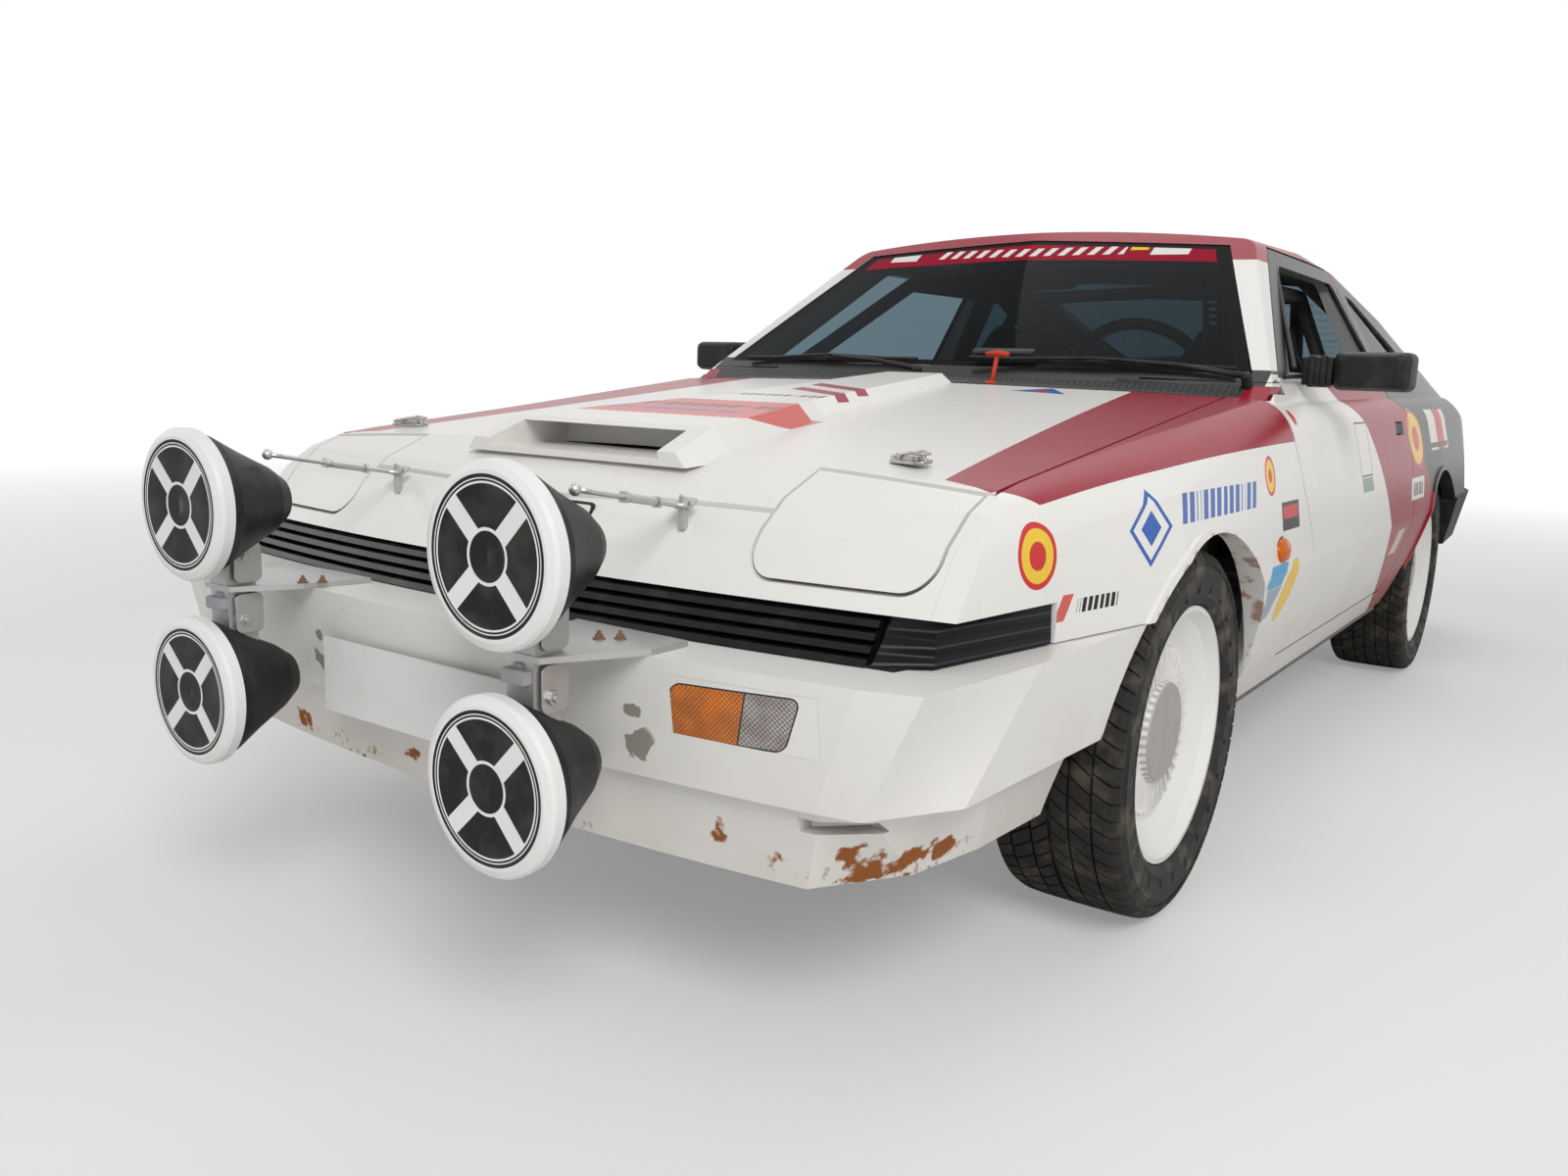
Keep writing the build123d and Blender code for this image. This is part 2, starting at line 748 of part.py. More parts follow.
def ball(centre, radius):
    with BuildPart() as solid:
        with Locations((centre[0], y_of(centre[1]), centre[2])):
            Sphere(radius)
    return solid.part


def tube_run(points, radius):
    """Straight bars joined by balls at their corners."""
    with BuildPart() as solid:
        for start, end in zip(points, points[1:]):
            add(rod(start, end, radius))
        for corner in points[1:-1]:
            add(ball(corner, radius))
    return solid.part


# Four round lamps: a cover over a funnel-shaped bowl
lamp_back = -944
with BuildPart() as covers:
    for x, s, z in lamp_pairs:
        face = s - cover_depth
        add(turned([(face + 3, 0), (face, lamp_radius - 12), (face + 4, lamp_radius - 3),
                    (face + 9, lamp_radius), (s, lamp_radius), (s, 0)], x, z))
write(pair(covers.part), "lamp_covers")


def bowl(grow):
    with BuildPart() as solid:
        for x, s, z in lamp_pairs:
            rim = s + seat_gap - grow
            add(turned([(rim, 0), (rim, lamp_radius - 6 + grow), (s + 18, lamp_radius - 10 + grow),
                        (s + 60, 78 + grow), (s + 112, 52 + grow), (lamp_back + grow, 34 + grow),
                        (lamp_back + grow, 0)], x, z))
    return solid.part


write(pair(bowl(0)), "lamp_bowls")

# Brackets on the bumper's ledge, with a foot under each upper lamp and a hanger over the lower
bracket_low = bumper_top_z + seat_gap
bracket_thick = 8
bracket_plan = [(228, -856), (424, -856), (424, -925), (362, -1052), (296, -1052), (250, -960)]
with BuildPart() as bracket:
    add(plan_prism(bracket_plan, bracket_low, bracket_low + bracket_thick))
    add(block((306, 352), (-1050, -1004), (bracket_low, 612)))
    add(block((304, 350), (-1050, -1004), (470, bracket_low)))
    add(bowl(seat_gap), mode=Mode.SUBTRACT)
write(pair(bracket.part), "lamp_brackets")

# Stay rods from the upper lamps back to the nose
stay_rows = [(352, -985, 752, 312, -738, 712), (-292, -985, 752, -312, -738, 712)]
with BuildPart() as stays:
    for x, s, z, back_x, back_s, back_z in stay_rows:
        front = (x, s, z)
        back = (back_x, back_s, back_z)
        middle = [(a * 0.55 + b * 0.45) for a, b in zip(front, back)]
        sleeve_end = [(a * 0.3 + b * 0.7) for a, b in zip(front, back)]
        add(rod(front, back, 3.5))
        add(rod(middle, sleeve_end, 6))
        add(ball(front, 8))
        add(ball(back, 8))
        add(block((back_x - 5, back_x + 5), (back_s - 5, back_s + 5), (680, back_z)))
    add(outer, mode=Mode.SUBTRACT)
    add(bowl(seat_gap), mode=Mode.SUBTRACT)
    add(mirrored(bowl(seat_gap)), mode=Mode.SUBTRACT)
write(stays.part, "stay_rods")

# Floor, bulkhead, tunnel, rails, load floor and wheel tubs in one welded pan
jack_pads = [(600, 760), (600, aft(-655))]
floor_top = sill_z - seat_gap
floor_low = floor_top - floor_thick
bulkhead_s = (412, 430)
tower_z = 746
tunnel_half = 135
tunnel_top = 440
rear_floor_s = aft(-425)
rear_floor_end = tail(130)
with BuildPart() as floor_pan:
    add(block((-742, 742), (bulkhead_s[0], rear_floor_s), (floor_low, floor_top)))
    add(block((-690, 690), bulkhead_s, (floor_low, 835)))
    add(block((-tunnel_half, tunnel_half), (bulkhead_s[0], rear_floor_s), (floor_low, tunnel_top)))
    add(block((-410, 410), (rear_floor_s, rear_floor_s + 18), (floor_low, load_z)))
    add(block((-410, 410), (rear_floor_s, rear_floor_end), (load_z - 18, load_z)))
    add(block((-680, 680), (rear_floor_s - 60, rear_floor_s), (floor_low, load_z)))
    add(block((-655, 655), (aft(425), rear_floor_end - 15), (load_z - 18, load_z)))
    add(block((-600, 600), (rear_floor_end - 15, rear_floor_end), (rear_bumper_bottom + 10, load_z)))
    for side in (1, -1):
        add(block(sorted((side * 250, side * 330)), (rear_floor_end, tail(106)), (420, load_z)))
    for side in (1, -1):
        rail_x = sorted((side * 350, side * 410))
        add(block(rail_x, (-770, bulkhead_s[1]), (400, 500)))
        add(block(rail_x, (-250, 250), (400, tower_z + 18)))
        add(block(sorted((side * 350, side * 575)), (-60, 60), (tower_z, tower_z + 18)))
        add(block(sorted((side * 395, side * 410)), (rear_floor_s, aft(445)), (420, 780)))
        add(block(sorted((side * 410, side * 690)), (aft(427), aft(445)), (load_z - 18, 700)))
    add(block((-600, 600), (-790, -755), (395, 540)))
    for x, s in jack_pads:
        for side in (1, -1):
            add(block(sorted((side * (x - 40), side * (x + 40))), (s - 50, s + 50),
                      (floor_low - jack_pad_deep, floor_low)))
    add(block((-tunnel_half + 15, tunnel_half - 15), (0, rear_floor_s + 30),
              (floor_low - 5, tunnel_top - 15)), mode=Mode.SUBTRACT)
    add(inner, mode=Mode.INTERSECT)
write(floor_pan.part, "floor_pan")

# Engine as one block on the rails' level, with gearbox, shaft, exhaust behind
engine_rear = 210
engine_low = 300
gearbox_z = 322
gearbox_r = 92
exhaust_r = 26
silencer_r = 75
pinion_s = aft(-235)
with BuildPart() as engine:
    add(block((-250, 250), (-420, engine_rear), (engine_low, 640)))
    add(block((-150, 170), (-380, 180), (640, 745)))
write(engine.part, "engine_block")
with BuildPart() as drivetrain:
    add(rod((0, engine_rear + seat_gap, gearbox_z), (0, 700, gearbox_z), gearbox_r))
    add(rod((0, 700, gearbox_z), (0, pinion_s - seat_gap, gearbox_z), 35))
    add(tube_run([(190, 150, engine_low - seat_gap), (190, 150, 236), (190, 420, 222),
                  (190, aft(-435), 222), (190, aft(-315), 206), (190, aft(165), 206),
                  (430, aft(355), 285), (430, tail(30), 300)], exhaust_r))
    add(rod((190, 820, 222), (190, 1180, 222), exhaust_r + 3))
    add(rod((430, tail(520), 292), (430, tail(130), 298), silencer_r))
write(drivetrain.part, "drivetrain")

# Front crossmember with its lower arms, and rear axle with its trailing arms
arm_z = 196
with BuildPart() as front_axle:
    add(block((-350, 350), (-60, 60), (190, 290)))
    for side in (1, -1):
        add(rod((side * 340, 0, 206), (side * 626, 0, arm_z), 16))
        add(rod((side * 430, -10, 206), (side * 385, -560, 300), 10))
        add(block(sorted((side * 365, side * 405)), (-580, -540), (290, 400 - seat_gap)))
write(front_axle.part, "front_crossmember")

spindle_r = hub_bore_r - 0.5
spindle_end = wheel_x + 18
arm_r = 22
with BuildPart() as rear_axle:
    add(block((-110, 110), (aft(-135), aft(125)), (230, 400)))
    add(block((-300, 300), (pinion_s - 70, pinion_s), (235, 284)))
    add(rod((0, pinion_s, gearbox_z), (0, aft(-125), gearbox_z), 40))
    for side in (1, -1):
        add(rod((side * 100, wheelbase, tyre_radius), (side * 560, wheelbase, tyre_radius), 20))
        add(rod((side * 550, wheelbase, tyre_radius), (side * 622, wheelbase, tyre_radius), 52))
        add(rod((side * 600, wheelbase, tyre_radius), (side * spindle_end, wheelbase, tyre_radius),
                spindle_r))
        add(rod((side * 240, aft(-270), 268), (side * 552, wheelbase, 290), arm_r))
        add(rod((side * 545, aft(-355), 262), (side * 552, wheelbase, 290), arm_r))
write(rear_axle.part, "rear_axle")


def spun(profile, station):
    """Half profile of x and radius, turned about the axle line."""
    with BuildPart() as solid:
        with BuildSketch(Plane.XZ.offset(-y_of(station))):
            with BuildLine():
                Polyline(*[(x, tyre_radius + r) for x, r in profile], close=True)
            make_face()
        revolve(axis=Axis((0, y_of(station), tyre_radius), (1, 0, 0)))
    return solid.part


half_tyre = tyre_width / 2
half_rim = rim_width / 2
outer_lip = wheel_x + half_rim
inner_lip = wheel_x - half_rim
disc_face = outer_lip - 42
rim_profile = [
    (disc_face + 18, 0), (disc_face + 18, cap_radius - 3), (disc_face + 15, cap_radius),
    (disc_face + 4, cap_radius + 3), (disc_face - 2, 150), (disc_face, 160),
    (outer_lip - 18, 198), (outer_lip, 212), (outer_lip, rim_radius), (outer_lip - 7, rim_radius),
    (outer_lip - 12, bead_radius), (inner_lip + 12, bead_radius), (inner_lip + 7, rim_radius),
    (inner_lip, rim_radius), (inner_lip, 212), (inner_lip + 8, 196), (disc_face - 22, 192),
    (disc_face - 22, 62), (660, 62), (660, 128), (640, 128), (640, hub_bore_r),
    (disc_face - 24, hub_bore_r), (disc_face - 24, 0),
]
shoulder = 14
tyre_profile = [
    (outer_lip - 12 - seat_gap, bead_radius + seat_gap), (outer_lip - 7 - seat_gap, rim_radius),
    (outer_lip - 1, rim_radius + seat_gap + 3), (wheel_x + half_tyre - 2, 244),
    (wheel_x + half_tyre, 268), (wheel_x + half_tyre - 5, tyre_radius - 20),
    (wheel_x + half_tyre - shoulder, tyre_radius - 3), (wheel_x + half_tyre - 32, tyre_radius),
]
tyre_profile += [(2 * wheel_x - x, r) for x, r in reversed(tyre_profile)]



def finned_rim(station):
    """Rim with turbine fins standing round its cap."""
    fin_run = fin_reach - fin_root
    with BuildPart() as wheel:
        add(spun(rim_profile, station))
        with Locations(Plane(origin=(disc_face, y_of(station), tyre_radius), z_dir=(1, 0, 0))):
            with PolarLocations(fin_root + fin_run / 2, fin_count):
                Box(fin_run, fin_thick, 2 * fin_rise)
    return wheel.part


for label, station in (("front", 0), ("rear", wheelbase)):
    rim = finned_rim(station)
    tyre = spun(tyre_profile, station)
    write(rim, "wheel_" + label + "_left")
    write(mirrored(rim), "wheel_" + label + "_right")
    write(tyre, "tyre_" + label + "_left")
    write(mirrored(tyre), "tyre_" + label + "_right")

# Steering knuckle: upright with the stub axle and the strut's tube
# It turns on the line from the lower arm's end to the strut's top.
kingpin_foot = (620, 0, arm_z)
kingpin_head = (541, 0, tower_z)


def on_kingpin(z):
    share = (z - kingpin_foot[2]) / (kingpin_head[2] - kingpin_foot[2])
    return (kingpin_foot[0] + share * (kingpin_head[0] - kingpin_foot[0]), 0, z)


with BuildPart() as knuckle:
    add(rod(on_kingpin(arm_z + 18.5), on_kingpin(260), 9))
    add(block((572, 625), (-32, 32), (240, 392)))
    add(rod((600, 0, tyre_radius), (632, 0, tyre_radius), 50))
    add(rod((620, 0, tyre_radius), (spindle_end, 0, tyre_radius), spindle_r))
    add(block((530, 580), (-22, 22), (330, 385)))
    add(rod((555, 0, 330), (546, 0, 640), 22))
    add(rod((546, 0, 630), on_kingpin(tower_z - 4), 11))
write(knuckle.part, "knuckle_left")
write(mirrored(knuckle.part), "knuckle_right")

# Cabin: dashboard, seats, roll cage, steering wheel
driver_x = 345
dash_s = (640, 800)
cage_r = 20
cage_foot = floor_top + seat_gap
stay_s = aft(265)
roof_z = 1175
hoop_s = aft(-510)


def front_legs(radius):
    with BuildPart() as legs:
        for side in (1, -1):
            add(tube_run([(side * 610, 600, cage_foot), (side * 625, 740, 870),
                          (side * 455, 1185, roof_z - 8), (side * 455, hoop_s, roof_z)], radius))
    return legs.part


with BuildPart() as dashboard:
    add(side_prism([(dash_s[0], 700), (dash_s[1] - 40, 640), (dash_s[1], 700), (dash_s[1] - 10, 850),
                    (dash_s[0] + 20, 878), (dash_s[0] - 40, 860)], -655, 655))
    add(block((driver_x - 170, driver_x + 170), (dash_s[0] + 20, dash_s[1] - 15), (840, 908)))
    add(front_legs(cage_r + seat_gap), mode=Mode.SUBTRACT)
write(dashboard.part, "dashboard")

seat_side = [(1225, 320), (1600, 300), (1680, 360), (1860, 1040), (1800, 1090), (1740, 1050),
             (1560, 640), (1240, 560)]
seat_hollow = [(1200, 430), (1540, 400), (1620, 440), (1745, 880), (1700, 1200), (1200, 1200)]
seat_half = 230
bolster = 40
seat_front = [(-200, 200), (200, 200), (205, 560), (190, 660), (seat_half, 800), (215, 900),
              (150, 975), (140, 1120), (-140, 1120), (-150, 975), (-215, 900), (-seat_half, 800),
              (-190, 660), (-205, 560)]
with BuildPart() as seat_left:
    add(side_prism(seat_side, driver_x - seat_half, driver_x + seat_half))
    with BuildSketch(Plane.XZ.offset(-y_of(far))):
        with BuildLine():
            Polyline(*[(driver_x + x, z) for x, z in seat_front], close=True)
        make_face()
    extrude(amount=-2 * far, mode=Mode.INTERSECT)
    add(side_prism(seat_hollow, driver_x - 200 + bolster, driver_x + 200 - bolster),
        mode=Mode.SUBTRACT)
    for offset_x in (-75, 75):
        harness_x = driver_x + offset_x
        add(block((harness_x - 38, harness_x + 38), (1600, 1900), (935, 968)), mode=Mode.SUBTRACT)
    add(block((driver_x - 150, driver_x + 150), (1260, 1560), (floor_top + seat_gap, 340)))
write(pair(seat_left.part), "seats")

with BuildPart() as roll_cage:
    add(front_legs(cage_r))
    for side in (1, -1):
        add(tube_run([(side * 600, hoop_s, cage_foot), (side * 610, hoop_s, 800),
                      (side * 455, hoop_s, roof_z), (0, hoop_s, roof_z + 20)], cage_r))
        add(rod((side * 455, 1185, roof_z - 8), (0, 1165, roof_z + 12), cage_r))
        add(rod((side * 450, hoop_s, roof_z - 10), (side * 315, stay_s, load_z + seat_gap), cage_r))
        add(rod((side * 617, 690, 480), (side * 603, hoop_s, 330), cage_r))
    add(ball((0, hoop_s, roof_z + 20), cage_r))
    add(ball((0, 1165, roof_z + 12), cage_r))
    add(rod((-455, hoop_s, roof_z - 5), (600, hoop_s, 320), cage_r))
    add(block((-far, far), (0, stay_s - 100), (0, cage_foot)), mode=Mode.SUBTRACT)
    add(block((-far, far), (stay_s - 99, stay_s + 300), (0, load_z + seat_gap)), mode=Mode.SUBTRACT)
write(roll_cage.part, "roll_cage")

column_dir = Vector(0, -0.9, -0.36)
wheel_hub = Vector(driver_x, y_of(930), 880)
with BuildPart() as steering_wheel:
    with Locations(Plane(origin=wheel_hub, z_dir=column_dir)):
        Torus(175, 14)
        Cylinder(32, 46)
        for angle in (0, 120, 240):
            with Locations(Rotation(0, 0, angle) * Pos(95, 0, 0)):
                Box(160, 26, 6)
        with Locations(Pos(0, 0, 55)):
            Cylinder(18, 100)
write(steering_wheel.part, "steering_wheel")

mirror_outline = [(790, 908), (850, 905), (880, 918), (884, 972), (862, 984), (812, 980)]
with BuildPart() as mirror_left:
    add(side_prism(mirror_outline, 800, 960))
    add(block((738, 800), (815, 875), (912, 950)))
    add(door_left.part, mode=Mode.SUBTRACT)
write(mirror_left.part, "mirror_left")
write(mirrored(mirror_left.part), "mirror_right")
print(len(written), "pieces")
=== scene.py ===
import json
import math

import bpy
import bmesh
from mathutils import Matrix, Vector


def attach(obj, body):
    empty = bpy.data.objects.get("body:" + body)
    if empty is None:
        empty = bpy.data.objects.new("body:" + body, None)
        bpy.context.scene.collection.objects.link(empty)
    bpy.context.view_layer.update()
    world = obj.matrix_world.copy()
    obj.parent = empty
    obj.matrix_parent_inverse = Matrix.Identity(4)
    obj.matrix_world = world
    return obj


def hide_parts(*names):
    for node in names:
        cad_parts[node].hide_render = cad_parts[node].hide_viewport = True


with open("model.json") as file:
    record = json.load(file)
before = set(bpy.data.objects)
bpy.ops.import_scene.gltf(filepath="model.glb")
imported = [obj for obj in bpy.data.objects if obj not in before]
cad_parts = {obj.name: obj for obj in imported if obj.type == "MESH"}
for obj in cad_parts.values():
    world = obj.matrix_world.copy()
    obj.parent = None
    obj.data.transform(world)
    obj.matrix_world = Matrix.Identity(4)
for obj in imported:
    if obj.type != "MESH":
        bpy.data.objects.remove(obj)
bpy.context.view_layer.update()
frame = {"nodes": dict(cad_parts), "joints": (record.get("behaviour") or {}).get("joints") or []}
print("frame loaded,", len(frame["nodes"]), "nodes")

scene = bpy.context.scene
nodes = frame["nodes"]
joints = {joint["name"]: joint for joint in frame["joints"]}
frontAxle = Vector(joints["roll_front_left"]["pos_m"])
rearAxle = Vector(joints["roll_rear_left"]["pos_m"])
sides = (("left", 1), ("right", -1))
looks = {}  # materials by name


def at(x, station, z):
    # a place by its station behind the front axle
    return Vector((x, station + frontAxle.y, z))


def added(name, data):
    thing = bpy.data.objects.new(name, data)
    scene.collection.objects.link(thing)
    return thing


class Field:
    # a number over a finish's surface: sums, products and comparisons on it make Math nodes
    def __init__(self, tree, socket):
        self.tree, self.socket = tree, socket

    def calc(self, operation, *others):
        node = self.tree.nodes.new("ShaderNodeMath")
        node.operation = operation
        for slot, value in enumerate((self, *others)):
            if isinstance(value, Field):
                self.tree.links.new(value.socket, node.inputs[slot])
            else:
                node.inputs[slot].default_value = value
        return Field(self.tree, node.outputs[0])

    def opposite(self):
        return self * -1.0 + 1.0

    def spread(self, low, high, outLow=0.0, outHigh=1.0):
        node = self.tree.nodes.new("ShaderNodeMapRange")
        self.tree.links.new(self.socket, node.inputs["Value"])
        for key, number in (("From Min", low), ("From Max", high), ("To Min", outLow), ("To Max", outHigh)):
            node.inputs[key].default_value = number
        return Field(self.tree, node.outputs[0])


def operator(operation):
    return lambda field, *others: field.calc(operation, *others)


# Python's signs on fields: + - * / > < and abs()
for name, operation in {"__add__": "ADD", "__sub__": "SUBTRACT", "__mul__": "MULTIPLY", "__truediv__": "DIVIDE",
                        "__gt__": "GREATER_THAN", "__lt__": "LESS_THAN", "__abs__": "ABSOLUTE"}.items():
    setattr(Field, name, operator(operation))


def most(first, *others):
    for other in others:
        first = first.calc("MAXIMUM", other)
    return first


def curve(value, *terms):
    # polynomial, the highest power's term first
    total = terms[0]
    for term in terms[1:]:
        total = value * total + term
    return total


def distance(u, v):
    return (u * u + v * v).calc("SQRT")


def between(value, low, high):
    return (value > low) * (value < high)


class Finish:
    # a material, its shader, and a point's place: across, behind the front axle, up
    def __init__(self, name):
        self.material = looks[name] = bpy.data.materials.new(name)
        self.material.use_nodes = True
        self.tree = self.material.node_tree
        self.shader = self.tree.nodes["Principled BSDF"]
        self.coordinate = self.tree.nodes.new("ShaderNodeTexCoord")
        self.x, y, self.z = self.parts("Object")
        self.station = y - frontAxle.y
        self.width = abs(self.x)

    def parts(self, kind):
        node = self.tree.nodes.new("ShaderNodeSeparateXYZ")
        self.tree.links.new(self.coordinate.outputs[kind], node.inputs[0])
        return [Field(self.tree, socket) for socket in node.outputs]

    def noise(self, scale, detail=3.0):
        node = self.tree.nodes.new("ShaderNodeTexNoise")
        node.inputs["Scale"].default_value = scale
        node.inputs["Detail"].default_value = detail
        self.tree.links.new(self.coordinate.outputs["Object"], node.inputs["Vector"])
        return Field(self.tree, node.outputs["Fac"])

    def pattern(self, name):
        scale, detail, *levels = patterns[name]
        return self.noise(scale, detail).spread(*levels)

    def mix(self, mask, low, high):
        # low where the mask is 0, high where it is 1: colours or mixes of them
        node = self.tree.nodes.new("ShaderNodeMix")
        node.data_type = "RGBA"
        self.tree.links.new(mask.socket, node.inputs[0])
        inputs = [socket for socket in node.inputs if socket.type == "RGBA"]
        for socket, value in zip(inputs, (low, high)):
            if isinstance(value, tuple):
                socket.default_value = (*value, 1)
            else:
                self.tree.links.new(value, socket)
        return next(socket for socket in node.outputs if socket.type == "RGBA")

    def put(self, **values):
        # sockets of the shader: numbers, fields or mixed colours
        names = {"colour": "Base Color", "roughness": "Roughness", "metallic": "Metallic", "ior": "IOR",
                 "specular": "Specular IOR Level", "coat": "Coat Weight", "clear": "Transmission Weight"}
        for key, value in values.items():
            socket = self.shader.inputs[names[key]]
            if isinstance(value, Field):
                self.tree.links.new(value.socket, socket)
            elif isinstance(value, (int, float)):
                socket.default_value = value
            else:
                self.tree.links.new(value, socket)

    def bump(self, height, strength, deep=0.001):
        node = self.tree.nodes.new("ShaderNodeBump")
        node.inputs["Strength"].default_value = strength
        node.inputs["Distance"].default_value = deep
        self.tree.links.new(height.socket, node.inputs["Height"])
        self.tree.links.new(node.outputs[0], self.shader.inputs["Normal"])


# Noise patterns: scale, detail, the two levels of noise that are spread out, and the values they become
patterns = {
    "raggedEdge": (38, 5, 0.3, 0.7, -0.45, 0.45),
    "rustSpecks": (70, 2, 0.60, 0.66, 0, 1),
    "rustPlaces": (7, 2, 0.50, 0.60, 0, 1),
    "rustFlecks": (30, 4, 0.52, 0.62, 0, 0.75),
    "splashes": (6, 4, 0.25, 0.85, 0, 0.5),
    "haze": (2.2, 2, 0.3, 0.9, 0, 0.05),
    "dustSpots": (23, 4, 0.5, 0.8, 0, 1),
    "rimGrime": (18, 4, 0.35, 0.75, 0.06, 0.28),
    "rimSheen": (30, 3, 0.3, 0.8, 0.28, 0.42),
    "coverDust": (20, 5, 0.45, 0.8, 0, 0.10),
    "lensShade": (30, 1, 0.62, 0.40, 0, 0.35),
    "glassFilm": (12, 5, 0.45, 0.8, 0, 0.25),
}

# The photographer's place and view, metres and degrees
cameraView = {
    "place": (1.402, -2.026, 0.895),
    "yaw": 35.38,
    "pitch": -9.88,
    "roll": 1.96,
    "lens": 28.06,
    "sensor": 36,
}


def makeCamera():
    yaw, pitch, roll = (math.radians(cameraView[key]) for key in ("yaw", "pitch", "roll"))
    data = bpy.data.cameras.new("camera")
    data.lens, data.sensor_width = cameraView["lens"], cameraView["sensor"]
    camera = added("camera", data)
    place = Matrix.Translation(at(*cameraView["place"]))
    for angle, axis in ((yaw, "Z"), (math.pi / 2 + pitch, "X"), (roll, "Z")):
        place = place @ Matrix.Rotation(angle, 4, axis)
    camera.matrix_world = place
    scene.camera = camera


makeCamera()

# Studio: pale floor, soft lights with their place, target, size and power, and a white world
studio = {
    "floorColour": (0.80, 0.80, 0.79),
    "floorSize": 60,
    "floorRoughness": 0.95,
    "floorFade": (3.2, 9.0, 0.25),
    "worldLight": 0.40,
    "lights": {
        "key": ((4.5, -5.5, 5.0), (0, -0.5, 0.5), 3.5, 300),
        "fill": ((-6, -4, 3.0), (0, 0, 0.6), 4.0, 55),
        "top": ((0, 2.5, 6.0), (0, 0.5, 0.5), 5.0, 75),
    },
}


def areaLight(name, place, target, size, power):
    data = bpy.data.lights.new(name, "AREA")
    data.shape = "DISK"
    data.size = size
    data.energy = power
    light = added(name, data)
    light.location = place
    light.rotation_euler = (Vector(target) - Vector(place)).to_track_quat("-Z", "Y").to_euler()


def floorFinish():
    # pale floor that keeps the shadow and goes over into the white background
    finish = Finish("floorFinish")
    tree = finish.tree
    finish.shader.inputs["Base Color"].default_value = (*studio["floorColour"], 1)
    finish.put(roughness=studio["floorRoughness"])
    glow = tree.nodes.new("ShaderNodeEmission")
    glow.inputs["Color"].default_value = (1, 1, 1, 1)
    length = tree.nodes.new("ShaderNodeVectorMath")
    length.operation = "LENGTH"
    tree.links.new(finish.coordinate.outputs["Object"], length.inputs[0])
    near, far, least = studio["floorFade"]
    share = Field(tree, length.outputs["Value"]).spread(near, far, least, 1.0)
    path = tree.nodes.new("ShaderNodeLightPath")
    mix = tree.nodes.new("ShaderNodeMixShader")
    seen = share * Field(tree, path.outputs["Is Camera Ray"])
    for socket, source in zip(mix.inputs, (seen.socket, finish.shader.outputs[0], glow.outputs[0])):
        tree.links.new(source, socket)
    tree.links.new(mix.outputs[0], tree.nodes["Material Output"].inputs[0])
    return finish.material


def makeStudio():
    world = bpy.data.worlds.new("studio")
    scene.world = world
    world.use_nodes = True
    tree = world.node_tree
    tree.nodes.clear()
    light = tree.nodes.new("ShaderNodeBackground")
    seen = tree.nodes.new("ShaderNodeBackground")
    light.inputs["Strength"].default_value = studio["worldLight"]
    for node in (light, seen):
        node.inputs["Color"].default_value = (1, 1, 1, 1)
    path = tree.nodes.new("ShaderNodeLightPath")
    rays = [Field(tree, path.outputs[f"Is {kind} Ray"]) for kind in ("Camera", "Glossy", "Transmission")]
    mix = tree.nodes.new("ShaderNodeMixShader")
    for socket, source in zip(mix.inputs, (most(*rays).socket, light.outputs[0], seen.outputs[0])):
        tree.links.new(source, socket)
    output = tree.nodes.new("ShaderNodeOutputWorld")
    tree.links.new(mix.outputs[0], output.inputs[0])
    for name, (place, target, size, power) in studio["lights"].items():
        areaLight(name, place, target, size, power)
    bpy.ops.mesh.primitive_plane_add(size=studio["floorSize"])
    floor = bpy.context.object
    floor.name = "floor"
    floor.data.materials.append(floorFinish())
    scene.view_settings.view_transform = "Standard"


# Body paint: colours, the lines between them, and what the panels' inner sides wear
paint = {
    "white": (0.80, 0.785, 0.755),
    "crimson": (0.31, 0.004, 0.024),
    "black": (0.006, 0.007, 0.009),
    "dust": (0.50, 0.42, 0.32),
    "rust": (0.30, 0.10, 0.025),
    "yellow": (0.85, 0.55, 0.04),
    "blue": (0.02, 0.11, 0.42),
    "salmon": (0.62, 0.11, 0.09),
    "red": (0.60, 0.02, 0.02),
    "sky": (0.05, 0.36, 0.62),
    "stone": (0.28, 0.36, 0.46),
    "green": (0.24, 0.34, 0.27),
    "sand": (0.62, 0.50, 0.33),
    "bare": (0.30, 0.275, 0.24),
    "primer": (0.30, 0.30, 0.30),
    "roughness": 0.26,
    "specular": 0.20,
    "dirtRoughness": 0.5,
    "roofLine": 1.197,
    "frameLine": 0.924,
    "roofEnd": 1.842,
    "postLine": 1.400,
    "scuttle": (0.938, 0.722),
    "inside": {"bonnet": "white", "fender": "white", "door": "primer", "rear": "black", "roof": "primer"},
    "outward": 0.06,
    "bandFront": (1.510, 0.575),
    "bandRear": (1.842, 0.888),
    "bandLean": (2.0, 0.5, 1.33),
    "stripeInner": (0.036, -0.118, 0.540),
    "stripeLower": (-0.045, 0.060, 0.780),
    "stripeTips": ((-0.29, -0.373), (1.33, -1.503)),
    "dustLine": (0.55, 0.24),
    "rustLine": (0.31, 0.265),
    "archLip": (0.356, 0.3485),
}

